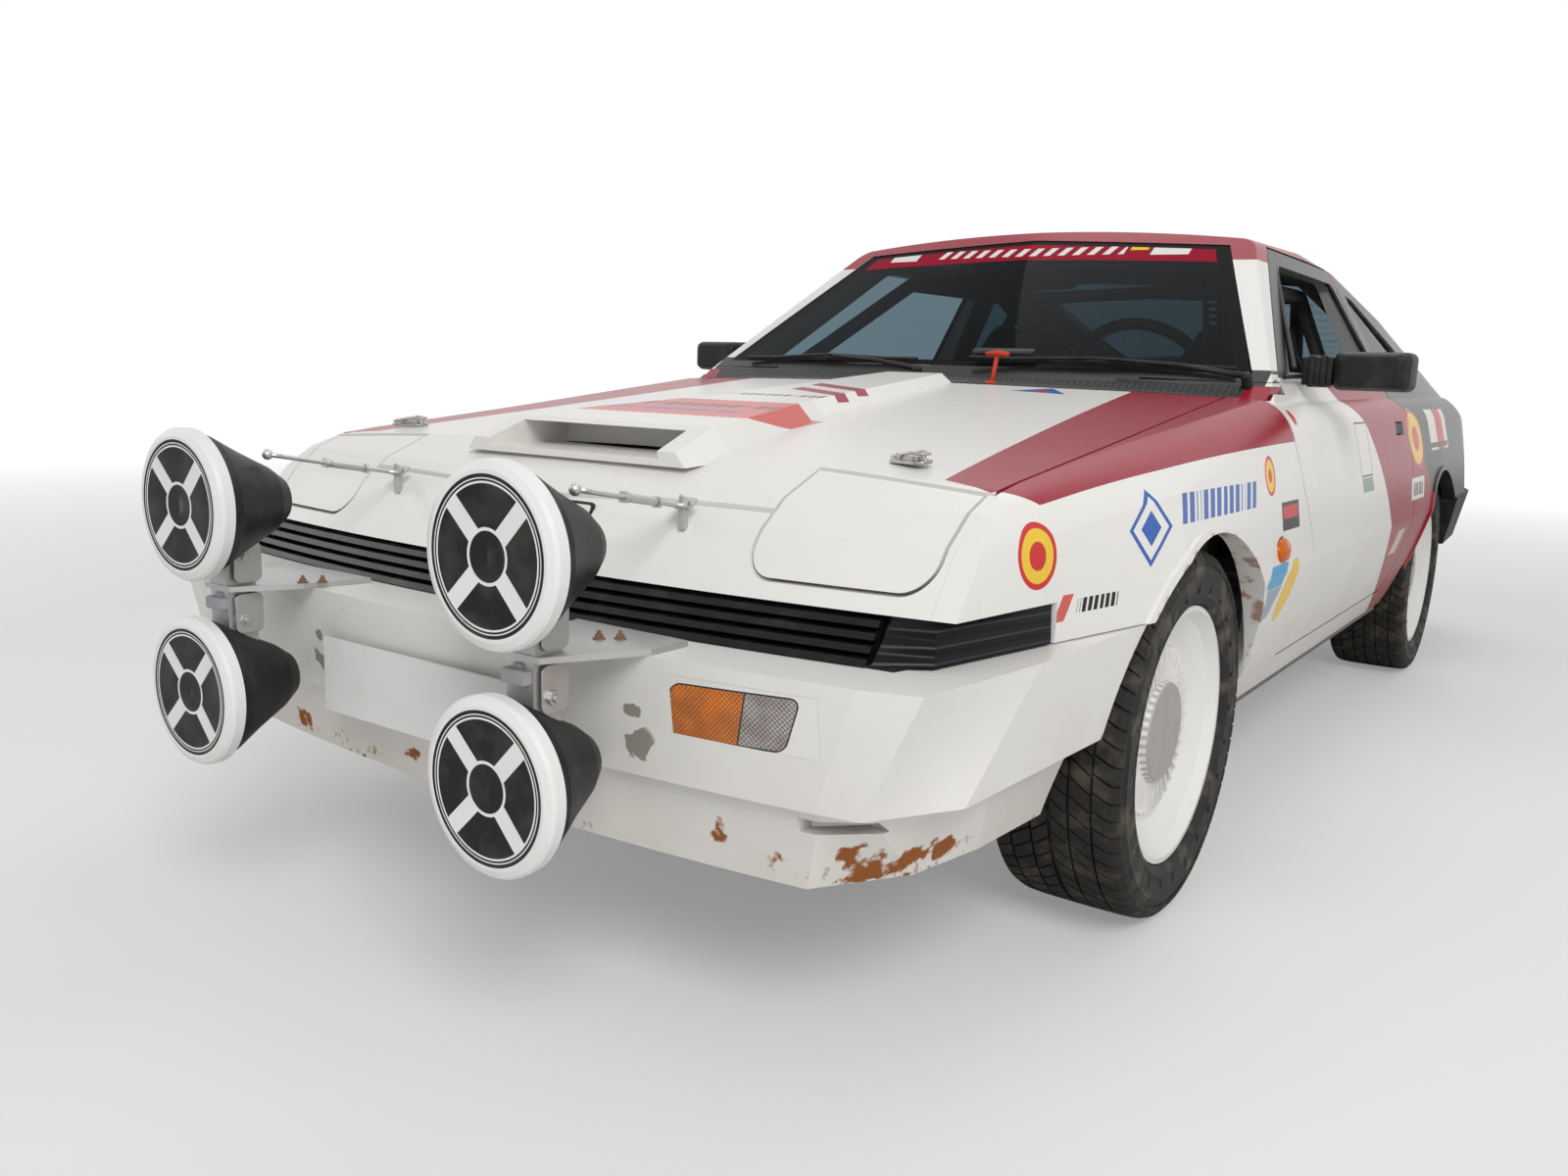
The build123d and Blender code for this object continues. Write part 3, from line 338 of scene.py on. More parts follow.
# Painted marks: shape, station, height (place across on the bonnet), half length, half height, lean, colour
marks = {
    "fender": [
        ("disc", -0.552, 0.674, 0.046, 0.044, 0, "red"),
        ("disc", -0.552, 0.674, 0.038, 0.036, 0, "yellow"),
        ("disc", -0.552, 0.674, 0.020, 0.019, 0, "red"),
        ("diamond", -0.248, 0.690, 0.064, 0.056, 0.2, "blue"),
        ("diamond", -0.248, 0.690, 0.053, 0.046, 0.2, "white"),
        ("diamond", -0.248, 0.690, 0.030, 0.026, 0.2, "blue"),
        ("bars", 0.045, 0.713, 0.200, 0.023, 0.35, "blue"),
        ("disc", 0.344, 0.741, 0.033, 0.037, 0, "red"),
        ("disc", 0.344, 0.741, 0.026, 0.030, 0, "yellow"),
        ("disc", 0.344, 0.741, 0.011, 0.013, 0, "red"),
        ("box", 0.468, 0.661, 0.062, 0.027, 0, "black"),
        ("box", 0.468, 0.668, 0.052, 0.012, 0, "red"),
        ("box", -0.487, 0.598, 0.013, 0.018, 0.6, "salmon"),
        ("bars", -0.402, 0.598, 0.052, 0.010, 0.2, "black"),
        ("box", 0.372, 0.552, 0.058, 0.022, 0.7, "sky"),
        ("box", 0.350, 0.499, 0.050, 0.030, 0.7, "stone"),
        ("disc", 0.478, 0.514, 0.044, 0.062, 0.35, "yellow"),
    ],
    "door": [
        ("disc", 0.580, 0.845, 0.016, 0.015, 0, "red"),
        ("box", 1.204, 0.765, 0.066, 0.065, -0.29, "black"),
        ("box", 1.204, 0.765, 0.062, 0.061, -0.29, "white"),
        ("box", 1.226, 0.680, 0.064, 0.017, -0.29, "green"),
    ],
    "band": [
        ("box", 1.700, 0.498, 0.050, 0.034, 0.6, "sand"),
        ("box", 1.945, 0.634, 0.108, 0.031, 0.3, "white"),
        ("bars", 1.945, 0.632, 0.085, 0.018, 0.3, "black"),
        ("disc", 1.955, 0.775, 0.118, 0.086, -0.4, "red"),
        ("disc", 1.955, 0.775, 0.103, 0.074, -0.4, "yellow"),
        ("disc", 1.955, 0.775, 0.050, 0.036, -0.4, "red"),
        ("box", 2.400, 0.795, 0.185, 0.062, -0.3, "white"),
        ("box", 2.430, 0.795, 0.075, 0.062, -0.3, "red"),
        ("box", 2.400, 0.748, 0.185, 0.008, -0.3, "black"),
    ],
    "bonnet": [
        ("box", -0.330, -0.025, 0.115, 0.215, 0, "salmon"),
        ("bars", -0.375, -0.02, 0.016, 0.150, 0, "blue"),
        ("bars", -0.300, -0.02, 0.020, 0.170, 0, "black"),
        ("bars", -0.100, -0.03, 0.014, 0.150, 0, "black"),
        ("box", -0.010, 0.040, 0.020, 0.085, -0.5, "crimson"),
        ("box", 0.075, 0.030, 0.020, 0.085, -0.5, "crimson"),
        ("wedge", 0.395, 0.335, 0.038, 0.062, 0, "blue"),
        ("wedge", 0.385, 0.335, 0.018, 0.022, 0, "red"),
    ],
    "barBeats": ((1.45, 0.34), (5.1, 0.12)),
}


def markMask(along, height, mark):
    kind, station, level, halfLength, halfHeight, lean, _ = mark
    v = height - level
    u = along - station - v * lean
    if kind == "disc":
        first, second = u / halfLength, v / halfHeight
        return first * first + second * second < 1.0
    if kind == "diamond":
        return abs(u / halfLength) + abs(v / halfHeight) < 1.0
    if kind == "wedge":
        first = u / halfLength
        return (first * 0.5 + abs(v / halfHeight) < 0.5) * (first > -1.0)
    inside = (abs(u) < halfLength) * (abs(v) < halfHeight)
    if kind == "bars":
        # upright strokes with gaps stand in the place of lettering
        longer = u if halfLength > halfHeight else v
        for beat, gap in marks["barBeats"]:
            share = (longer / (beat * min(halfLength, halfHeight))).calc("FRACT")
            inside = inside * (share > gap)
    return inside


def marked(finish, colour, height, part):
    for mark in marks[part]:
        colour = finish.mix(markMask(finish.station, height, mark), colour, paint[mark[-1]])
    return colour


def facingOut(finish):
    # 1 on outer skins, 0 on the inner side of panels
    across, _, up = finish.parts("Normal")
    return most(across * finish.x.calc("SIGN"), up) > paint["outward"]


def bonnetStripe(finish):
    # crimson along the bonnet's side and the fender's top
    width, station = finish.width, finish.station
    tip = most(*[curve(width, *terms) for terms in paint["stripeTips"]])
    mask = (width > curve(station, *paint["stripeInner"])) * (finish.z > curve(station, *paint["stripeLower"]))
    return mask * (station > tip)


def sideBands(finish):
    # crimson band leaning across the door, black behind it
    bend, lean, fall = paint["bandLean"]
    (frontStation, frontHeight), (rearStation, rearHeight) = paint["bandFront"], paint["bandRear"]
    rise = finish.z * -1.0 + frontHeight
    front = rise * (abs(rise) * bend + lean) + frontStation
    rear = most(finish.z * -1.0 + rearHeight, 0.0) * fall + rearStation
    return finish.station > front, finish.station > rear


# Knocks on the bumper and the apron: places across the car and up, their reach, and how sharp their edges are
knocks = {
    "rust": [(0.655, 0.284, 0.060), (0.690, 0.292, 0.030), (0.482, 0.322, 0.028), (0.560, 0.300, 0.030),
             (-0.100, 0.300, 0.030), (-0.420, 0.296, 0.045)],
    "bare": [(0.395, 0.430, 0.030), (0.388, 0.475, 0.018), (-0.262, 0.430, 0.028), (-0.255, 0.470, 0.018)],
    "edge": {"rust": (0.52, 0.72), "bare": (0.36, 0.40)},
    "fade": (0.0, 0.25),
}


def patches(finish, kind):
    ragged = finish.pattern("raggedEdge")
    spots = []
    for across, height, reach in knocks[kind]:
        near = distance(finish.x - across, finish.z - height).spread(reach, 0.0)
        spots.append((near + ragged).spread(*knocks["edge"][kind]) * near.spread(*knocks["fade"]))
    return most(*spots)


def chips(finish):
    # rust on the lowest edges and round the arches' lips
    specks = finish.pattern("rustSpecks") * finish.pattern("rustPlaces")
    lip = distance(finish.station, finish.z - frontAxle.z).spread(*paint["archLip"])
    return most(specks * finish.z.spread(*paint["rustLine"]), finish.pattern("rustFlecks") * lip)


def bodyPaint(scheme):
    finish = Finish(scheme + "Paint")
    station, z = finish.station, finish.z
    layers = []
    colour = paint["white"]
    if scheme in ("bonnet", "fender"):
        colour = marked(finish, colour, finish.x if scheme == "bonnet" else z, scheme)
        layers = [(bonnetStripe(finish), "crimson")]
    if scheme in ("door", "rear"):
        crimson, behind = sideBands(finish)
        if scheme == "door":
            colour = marked(finish, colour, z, "door")
        colour = finish.mix(crimson, colour, paint["crimson"])
        colour = finish.mix(behind, colour, paint["black"])
        colour = marked(finish, colour, z, "band")
    if scheme == "door":
        layers = [(z > paint["frameLine"], "black")]
    if scheme == "roof":
        scuttle = (z < paint["scuttle"][0]) * (finish.width < paint["scuttle"][1])
        layers = [(station > paint["postLine"], "black"), (z > paint["roofLine"], "crimson"),
                  (station > paint["roofEnd"], "black"), (scuttle, "black")]
    for mask, shade in layers:
        colour = finish.mix(mask, colour, paint[shade])
    if scheme in paint["inside"]:
        colour = finish.mix(facingOut(finish), paint[paint["inside"][scheme]], colour)
    # road dust thickens towards the sills
    haze = z.spread(*paint["dustLine"]) * finish.pattern("splashes") + finish.pattern("haze")
    colour = finish.mix(haze, colour, paint["dust"])
    rust = chips(finish)
    if scheme == "front":
        rust = most(rust, patches(finish, "rust"))
        colour = finish.mix(patches(finish, "bare"), colour, paint["bare"])
    colour = finish.mix(rust, colour, paint["rust"])
    roughness = (haze + rust) * paint["dirtRoughness"] + paint["roughness"]
    finish.put(colour=colour, roughness=roughness, specular=paint["specular"])
    finish.bump(finish.noise(scale=140, detail=2), strength=0.04, deep=0.0005)


# Grained finishes: their clouds, how worn places lighten, and the cloudy sheen
grainLook = {
    "cloud": (9, 5),
    "wornLevels": (0.4, 0.75),
    "lighter": (1.55, 0.01),
    "sheen": 0.18,
    "specular": {"metal": 0.5, "other": 0.20},
}


def grained(name, colour, roughness, grainScale, grainDepth, wear=0.25, dusty=0.15, metallic=0.0):
    # moulded plastic, rubber, cast or plated metal: grain, cloudy sheen and dust on top
    finish = Finish(name)
    cloud = finish.noise(*grainLook["cloud"])
    share, lift = grainLook["lighter"]
    worn = tuple(min(1.0, value * share + lift) for value in colour)
    tone = finish.mix(cloud.spread(*grainLook["wornLevels"]) * wear, colour, worn)
    tone = finish.mix(finish.pattern("dustSpots") * dusty, tone, paint["dust"])
    finish.put(colour=tone, roughness=(cloud - 0.5) * grainLook["sheen"] + roughness, metallic=metallic,
               specular=grainLook["specular"]["metal" if metallic else "other"])
    finish.bump(finish.noise(grainScale), grainDepth, deep=0.0008)


# Wheel finish: painted rim, bare grey cap, painted shade in the valleys between the fins
rimLook = {
    "white": (0.80, 0.795, 0.78),
    "capRadius": 0.0855,
    "capGrey": (0.42, 0.40, 0.39),
    "finsEnd": 0.148,
    "fins": 36,
    "finShadeLevels": (0.5, -0.7, 0.0, 0.55),
    "grimeLine": (0.178, 0.118, 0.25, 1.0),
    "capMetal": 0.5,
    "finShadeColour": (0.20, 0.18, 0.165),
}


def rimPaint():
    finish = Finish("rimPaint")
    behind = abs(finish.station - (rearAxle.y - frontAxle.y))
    nearest = abs(finish.station).calc("MINIMUM", behind)
    up = finish.z - frontAxle.z
    radius = distance(nearest, up)
    cap = radius < rimLook["capRadius"]
    inner = radius.spread(*rimLook["grimeLine"])
    wave = (up.calc("ARCTAN2", nearest) * rimLook["fins"]).calc("COSINE")
    # painted shade: the rim goes darker in the valleys between the fins
    finShadeMask = (radius < rimLook["finsEnd"]) * wave.spread(*rimLook["finShadeLevels"])
    colour = finish.mix(finish.pattern("rimGrime") * inner, rimLook["white"], paint["dust"])
    colour = finish.mix(finShadeMask, colour, rimLook["finShadeColour"])
    colour = finish.mix(cap, colour, rimLook["capGrey"])
    finish.put(colour=colour, metallic=cap * rimLook["capMetal"], roughness=finish.pattern("rimSheen"))


# Lamp covers: white moulded caps with a printed black disc, thin rings and a diagonal white cross
coverLook = {
    "white": (0.80, 0.80, 0.79),
    "centres": ((0.331, 0.680), (0.326, 0.403)),
    "disc": 0.095,
    "rings": ((0.084, 0.0865), (0.089, 0.0905)),
    "crossHalf": 0.0115,
    "hub": (0.030, 0.034),
    "split": 0.54,
}


def coverPrint():
    finish = Finish("coverPrint")
    upper = finish.z > coverLook["split"]
    (highX, highZ), (lowX, lowZ) = coverLook["centres"]
    u = finish.width - (upper * (highX - lowX) + lowX)
    v = finish.z - (upper * (highZ - lowZ) + lowZ)
    radius = distance(u, v)
    rings = [between(radius, low, high) for low, high in coverLook["rings"] + (coverLook["hub"],)]
    field = between(radius, coverLook["hub"][1], coverLook["rings"][0][0])
    arms = [(abs(v * sign + u) < coverLook["crossHalf"] * math.sqrt(2)) * field for sign in (1, -1)]
    white = most(radius > coverLook["disc"], *rings, *arms)
    colour = finish.mix(white, paint["black"], coverLook["white"])
    colour = finish.mix(finish.pattern("coverDust"), colour, paint["dust"])
    finish.put(colour=colour, roughness=0.38, specular=0.2)


# Windscreen: glass whose tint is darkened as painted shade for the dark cabin behind it, with a painted black border,
# a crimson sun strip, strokes and two tickets on it
screenLook = {
    "tintAndShade": (0.105, 0.165, 0.20),
    "borderColour": (0.012, 0.012, 0.013),
    "strokeColour": (0.78, 0.77, 0.75),
    "border": (0.035, 0.012),
    "low": (0.688, 0.930),
    "high": (0.498, 1.236),
    "top": 1.262,
    "strip": 1.206,
    "stripFall": -0.028,
    "middle": 1.227,
    "strokes": {"pitch": 26, "lean": 0.5, "share": 0.52, "halfWidth": 0.26, "halfHeight": 0.011},
    "ends": {"place": 0.37, "halfWidth": 0.045, "halfHeight": 0.014},
    "ticket": {"place": 0.292, "up": 0.006, "halfWidth": 0.022, "halfHeight": 0.006},
}


def screenPaint():
    finish = Finish("screenPaint")
    width, z = finish.width, finish.z
    (lowX, lowZ), (highX, highZ), top = screenLook["low"], screenLook["high"], screenLook["top"]
    sideBorder, endBorder = screenLook["border"]
    edge = (z - lowZ) * ((highX - lowX) / (highZ - lowZ)) + (lowX - sideBorder)
    topLine = curve(width, (highZ - top) / highX, top - endBorder)
    rim = most(width > edge, z < lowZ + endBorder, z > topLine)
    strip = z > curve(width, screenLook["stripFall"], screenLook["strip"])
    middle = z - screenLook["middle"]
    strokes, ends, ticket = screenLook["strokes"], screenLook["ends"], screenLook["ticket"]
    beat = ((finish.x - middle * strokes["lean"]) * strokes["pitch"]).calc("FRACT")
    lines = (beat > strokes["share"]) * (width < strokes["halfWidth"]) * (abs(middle) < strokes["halfHeight"])
    patch = (abs(width - ends["place"]) < ends["halfWidth"]) * (abs(middle) < ends["halfHeight"])
    label = abs(finish.x - ticket["place"]) < ticket["halfWidth"]
    label = label * (abs(middle - ticket["up"]) < ticket["halfHeight"])
    # painted shade: the dark glass tint stands in for the shade of the cabin behind it
    colour = finish.mix(strip, screenLook["tintAndShade"], paint["crimson"])
    colour = finish.mix(most(lines, patch), colour, screenLook["strokeColour"])
    colour = finish.mix(label, colour, paint["yellow"])
    colour = finish.mix(rim, colour, screenLook["borderColour"])
    finish.put(colour=colour, clear=most(rim, strip).opposite(), ior=1.08, specular=0.3, roughness=0.0)


# Turn lamps: a leaning rounded lens, amber inside and clear outside, prisms pressed in it, lighter and darker over
# the prisms as painted highlight and shade
turnLook = {
    "centre": (0.530, 0.4885),
    "half": (0.086, 0.034),
    "corner": 0.012,
    "lean": 0.35,
    "fall": 0.033,
    "split": 0.5495,
    "splitLean": 0.22,
    "seam": 0.0011,
    "surround": 0.0022,
    "pitch": 150,
    # each lens colour: the prisms' painted shade, then their painted highlight
    "amber": ((0.50, 0.085, 0.004), (0.88, 0.27, 0.012)),
    "clear": ((0.16, 0.14, 0.13), (0.56, 0.53, 0.50)),
    "shade": (0.10, 0.045, 0.02),
}


def turnLens():
    finish = Finish("turnLens")
    width, corner = finish.width, turnLook["corner"]
    up = finish.z - turnLook["centre"][1]
    u = width - turnLook["centre"][0] - up * turnLook["lean"]
    v = u * -turnLook["fall"] + up
    away = distance(*[most(abs(value) - (half - corner), 0.0) for value, half in zip((u, v), turnLook["half"])])
    seam = width - turnLook["split"] - up * turnLook["splitLean"]
    ribs, rows = [(value * (turnLook["pitch"] * 2 * math.pi)).calc("SINE") for value in (width, finish.z)]
    prisms = ribs * rows
    # painted highlight and shade: the lens colour goes lighter and darker over the prism pattern
    prismHighlight = prisms.spread(-1, 1)
    colour = finish.mix(seam < 0.0, finish.mix(prismHighlight, *turnLook["clear"]), finish.mix(prismHighlight, *turnLook["amber"]))
    colour = finish.mix(finish.pattern("lensShade"), colour, turnLook["shade"])
    colour = finish.mix(most(abs(seam) < turnLook["seam"], away > corner), colour, paint["black"])
    outside = away > corner + turnLook["surround"]
    colour = finish.mix(outside, colour, paint["white"])
    finish.put(colour=colour, roughness=0.16, coat=0.25)
    finish.bump(prisms * outside.opposite(), strength=0.5, deep=0.002)


# Tail lamps in three colours, and the dark corner lamps with a painted highlight along each rib's crest, both with
# ribs along them
tailLook = {
    "amberFrom": 0.575,
    "clearTo": 0.40,
    "ribs": 500,
    "lineFrom": 0.93,
    "red": (0.42, 0.008, 0.01),
    "amber": (0.72, 0.20, 0.01),
    "clear": (0.55, 0.53, 0.52),
    "line": (0.02, 0.02, 0.02),
}
cornerLook = {"ribs": 330, "crestHighlightFrom": 0.9, "dark": (0.005, 0.005, 0.006), "light": (0.035, 0.037, 0.042)}


def tailLens():
    finish = Finish("tailLens")
    ribs = (finish.z * tailLook["ribs"]).calc("SINE")
    colour = finish.mix(finish.width > tailLook["amberFrom"], tailLook["red"], tailLook["amber"])
    colour = finish.mix(finish.width < tailLook["clearTo"], colour, tailLook["clear"])
    colour = finish.mix(ribs > tailLook["lineFrom"], colour, tailLook["line"])
    finish.put(colour=colour, roughness=0.12, coat=0.8)
    finish.bump(ribs, strength=0.4, deep=0.002)


def cornerLens():
    finish = Finish("cornerLens")
    ribs = (finish.z * cornerLook["ribs"]).calc("SINE")
    # painted highlight: a lighter line along each rib's crest
    colour = finish.mix(ribs > cornerLook["crestHighlightFrom"], cornerLook["dark"], cornerLook["light"])
    finish.put(colour=colour, roughness=0.28, specular=0.12)
    finish.bump(ribs, strength=0.5, deep=0.003)


# Side and tail glass: tint darkened as painted shade for the dark space behind it, painted edge, dust, and heater
# lines on the hatch
glassLook = {"tintAndShade": (0.13, 0.185, 0.22), "film": (0.24, 0.25, 0.24), "heaterShare": 0.03}
quarterLook = {"width": (0.0, 1.0), "height": (0.964, 1.168), "station": (1.93, 2.58), "heater": 0.0}
hatchLook = {"width": (-1.0, 0.478), "height": (1.012, 1.256), "station": (0.0, 9.0), "heater": 0.019}


def sideGlass(name, look):
    finish = Finish(name)
    edges = []
    for value, key in ((finish.width, "width"), (finish.z, "height"), (finish.station, "station")):
        low, high = look[key]
        edges += [value < low, value > high]
    if look["heater"]:
        edges.append((finish.z / look["heater"]).calc("FRACT") < glassLook["heaterShare"])
    edge = most(*edges)
    # painted shade: the dark tint stands in for the shade behind the glass
    tintAndShade = finish.mix(finish.pattern("glassFilm"), glassLook["tintAndShade"], glassLook["film"])
    colour = finish.mix(edge, tintAndShade, paint["black"])
    finish.put(colour=colour, clear=edge.opposite(), roughness=0.0, specular=0.3, ior=1.08)


# Ribbed plastic: how dark the painted shade in the grooves is, and where on the wave the grooves go over into the
# ribs
ribLook = {"grooveShadeShare": 0.4, "levels": (-0.4, 0.6)}


def ribbedPlastic(name, colour, pitch):
    # ribs across the car, as on the cowl, with painted shade in the grooves
    finish = Finish(name)
    ribs = (finish.x * (2 * math.pi / pitch)).calc("SINE")
    # painted shade: the grooves are darker than the plastic between them
    dark = tuple(value * ribLook["grooveShadeShare"] for value in colour)
    finish.put(colour=finish.mix(ribs.spread(*ribLook["levels"]), dark, colour), roughness=0.55)
    finish.bump(ribs, strength=0.8, deep=0.003)


makeStudio()
for scheme in ("white", "bonnet", "fender", "door", "rear", "front", "roof"):
    bodyPaint(scheme)
rimPaint()
coverPrint()
screenPaint()
turnLens()
tailLens()
cornerLens()
sideGlass("quarterTintAndShade", quarterLook)
sideGlass("hatchTintAndShade", hatchLook)
ribbedPlastic("cowlPlastic", (0.035, 0.035, 0.037), 0.014)

# Grained finishes: colour, roughness, grain's scale and depth, wear, dust, metallic
grains = {
    "blackPlastic": ((0.014, 0.014, 0.015), 0.45, 900, 0.2, 0.2, 0.06),
    "bumperPlastic": ((0.016, 0.016, 0.018), 0.5, 700, 0.2, 0.12, 0.05),
    "glossBlack": ((0.004, 0.004, 0.005), 0.26, 400, 0.05, 0.2, 0.05),
    "darkMetal": ((0.075, 0.072, 0.070), 0.55, 260, 0.3, 0.3, 0.16, 0.4),
    "underPaint": ((0.16, 0.157, 0.152), 0.75, 120, 0.3, 0.3, 0.20),
    "zincSteel": ((0.48, 0.48, 0.47), 0.42, 300, 0.12, 0.3, 0.12, 0.8),
    "rustySteel": ((0.20, 0.12, 0.07), 0.7, 400, 0.5, 0.9, 0.3, 0.3),
    "chrome": ((0.42, 0.41, 0.39), 0.30, 300, 0.08, 0.2, 0.06, 1.0),
    "rubber": ((0.022, 0.021, 0.020), 0.60, 500, 0.2, 0.3, 0.22),
    "treadRubber": ((0.024, 0.022, 0.020), 0.8, 300, 0.3, 0.3, 0.16),
    "cloth": ((0.016, 0.016, 0.018), 0.9, 700, 0.2, 0.3, 0.05),
    "shellPlastic": ((0.012, 0.012, 0.014), 0.35, 300, 0.1, 0.2, 0.05),
    "cagePaint": ((0.10, 0.10, 0.11), 0.4, 400, 0.1),
    "handleRed": ((0.55, 0.05, 0.02), 0.5, 200, 0.1, 0.2, 0.1),
    "amberLens": ((0.58, 0.12, 0.006), 0.15, 200, 0.1, 0.1, 0.05),
    "mirrorGlass": ((0.75, 0.77, 0.78), 0.08, 100, 0.01, 0.1, 0.05, 1.0),
    "plugGrey": ((0.36, 0.37, 0.39), 0.5, 500, 0.15, 0.2, 0.15),
    "plateWhite": ((0.74, 0.74, 0.73), 0.45, 80, 0.05, 0.1, 0.12),
}
for name, values in grains.items():
    grained(name, *values)
print("materials made")

# The CAD nodes under each finish
finishes = {
    "whitePaint": "nose_panel headlamp_pod_left headlamp_pod_right",
    "bonnetPaint": "bonnet",
    "fenderPaint": "front_fender_left front_fender_right",
    "doorPaint": "door_left door_right",
    "rearPaint": "rear_body",
    "frontPaint": "front_bumper front_valance",
    "roofPaint": "roof_frame hatch",
    "bumperPlastic": "rear_bumper",
    "cowlPlastic": "cowl_panel",
    "screenPaint": "windscreen",
    "quarterTintAndShade": "quarter_glass",
    "hatchTintAndShade": "hatch_glass",
    "tailLens": "tail_lamps",
    "cornerLens": "corner_lamps",
    "turnLens": "turn_lamps",
    "coverPrint": "lamp_covers",
    "glossBlack": "grille",
    "plateWhite": "number_plates",
    "blackPlastic": "lamp_bowls dashboard steering_wheel mirror_left mirror_right",
    "zincSteel": "lamp_brackets stay_rods",
    "underPaint": "floor_pan",
    "darkMetal": "engine_block drivetrain front_crossmember rear_axle knuckle_left knuckle_right",
    "cloth": "seats",
    "cagePaint": "roll_cage",
    "rimPaint": "wheel_front_left wheel_front_right wheel_rear_left wheel_rear_right",
    "rubber": "tyre_front_left tyre_front_right tyre_rear_left tyre_rear_right",
}
for look, names in finishes.items():
    for name in names.split():
        nodes[name].data.materials.clear()
        nodes[name].data.materials.append(looks[look])
print("CAD nodes finished")


# A form is a list of points and a list of faces
def formOf(points, faces):
    return [Vector(point) for point in points], [tuple(face) for face in faces]


def joined(*forms):
    points, faces = [], []
    for formPoints, formFaces in forms:
        base = len(points)
        points += formPoints
        faces += [tuple(base + index for index in face) for face in formFaces]
    return points, faces


def mirroredForm(form):
    points, faces = form
    return [Vector((-p.x, p.y, p.z)) for p in points], [tuple(reversed(face)) for face in faces]


def onSide(form, sign):
    return form if sign > 0 else mirroredForm(form)


def bothSides(form):
    return joined(form, mirroredForm(form))


def boxForm(low, high):
    corners = [(x, y, z) for x in (low[0], high[0]) for y in (low[1], high[1]) for z in (low[2], high[2])]
    return formOf(corners, [(0, 1, 3, 2), (4, 6, 7, 5), (0, 4, 5, 1), (2, 3, 7, 6), (0, 2, 6, 4), (1, 5, 7, 3)])


def frameAlong(run):
    run = run.normalized()
    side = run.cross(Vector((0, 0, 1)) if abs(run.z) < 0.9 else Vector((1, 0, 0))).normalized()
    return side, run.cross(side)


def ringOf(centre, side, up, radius, steps):
    angles = [2 * math.pi * step / steps for step in range(steps)]
    return [centre + radius * (math.cos(angle) * side + math.sin(angle) * up) for angle in angles]


def tubeForm(points, radius, steps=12):
    # round bar through points, one radius or one for each point, with closed ends
    points = [Vector(point) for point in points]
    radii = radius if isinstance(radius, (list, tuple)) else [radius] * len(points)
    rings, faces = [], []
    for index, (point, size) in enumerate(zip(points, radii)):
        ahead = points[min(index + 1, len(points) - 1)]
        behind = points[max(index - 1, 0)]
        rings += ringOf(point, *frameAlong(ahead - behind), size, steps)
    for ring in range(len(points) - 1):
        for step in range(steps):
            a, b = ring * steps + step, ring * steps + (step + 1) % steps
            faces.append((a, b, b + steps, a + steps))
    faces.append(tuple(reversed(range(steps))))
    faces.append(tuple(range(len(rings) - steps, len(rings))))
    return rings, faces


def boltForm(centre, axis, size=0.008, height=0.006):
    centre, axis = Vector(centre), Vector(axis).normalized()
    washerTop, threadEnd = centre + axis * 0.0015, centre + axis * (height + 0.005)
    washer = tubeForm([centre, washerTop], size * 1.5, 16)
    head = tubeForm([washerTop, centre + axis * height], size, 6)
    thread = tubeForm([centre + axis * height, threadEnd], size * 0.5, 8)
    return joined(washer, head, thread)


def latheForm(profile, centre, axis, steps=48):
    # profile of places along the axis and radii, turned round it
    centre, axis = Vector(centre), Vector(axis).normalized()
    points, faces = [], []
    for along, radius in profile:
        points += ringOf(centre + axis * along, *frameAlong(axis), radius, steps)
    for row in range(len(profile) - 1):
        for step in range(steps):
            a, b = row * steps + step, row * steps + (step + 1) % steps
            faces.append((a, b, b + steps, a + steps))
    return points, faces


def slabForm(outline, thickness, origin, across, up):
    # flat plate: outline in its own plane, pushed back by its thickness
    origin, across, up = Vector(origin), Vector(across).normalized(), Vector(up).normalized()
    normal = across.cross(up).normalized()
    front = [origin + across * u + up * v for u, v in outline]
    back = [point - normal * thickness for point in front]
    count = len(outline)
    faces = [tuple(range(count)), tuple(reversed(range(count, 2 * count)))]
    faces += [(i, i + count, (i + 1) % count + count, (i + 1) % count) for i in range(count)]
    return front + back, faces


def roundedOutline(halfWidth, halfHeight, radius, steps=5):
    outline = []
    for cx, cy, start in ((1, 1, 0), (-1, 1, 90), (-1, -1, 180), (1, -1, 270)):
        for step in range(steps + 1):
            angle = math.radians(start + 90 * step / steps)
            outline.append((cx * (halfWidth - radius) + radius * math.cos(angle),
                            cy * (halfHeight - radius) + radius * math.sin(angle)))
    return outline


def plateForm(size, origin, across=(1, 0, 0), up=(0, 0, 1)):
    # rounded plate: half width, half height, corner radius and thickness
    halfWidth, halfHeight, radius, thickness = size
    return slabForm(roundedOutline(halfWidth, halfHeight, radius), thickness, origin, across, up)


def rawMesh(name, form):
    mesh = bpy.data.meshes.new(name)
    mesh.from_pydata([tuple(point) for point in form[0]], [], form[1])
    return mesh


def meshOf(name, form):
    mesh = rawMesh(name, form)
    work = bmesh.new()
    work.from_mesh(mesh)
    bmesh.ops.remove_doubles(work, verts=work.verts, dist=0.00002)
    bmesh.ops.recalc_face_normals(work, faces=work.faces)
    work.to_mesh(mesh)
    work.free()
    return mesh


def formFrom(mesh):
    return [vertex.co.copy() for vertex in mesh.vertices], [tuple(face.vertices) for face in mesh.polygons]


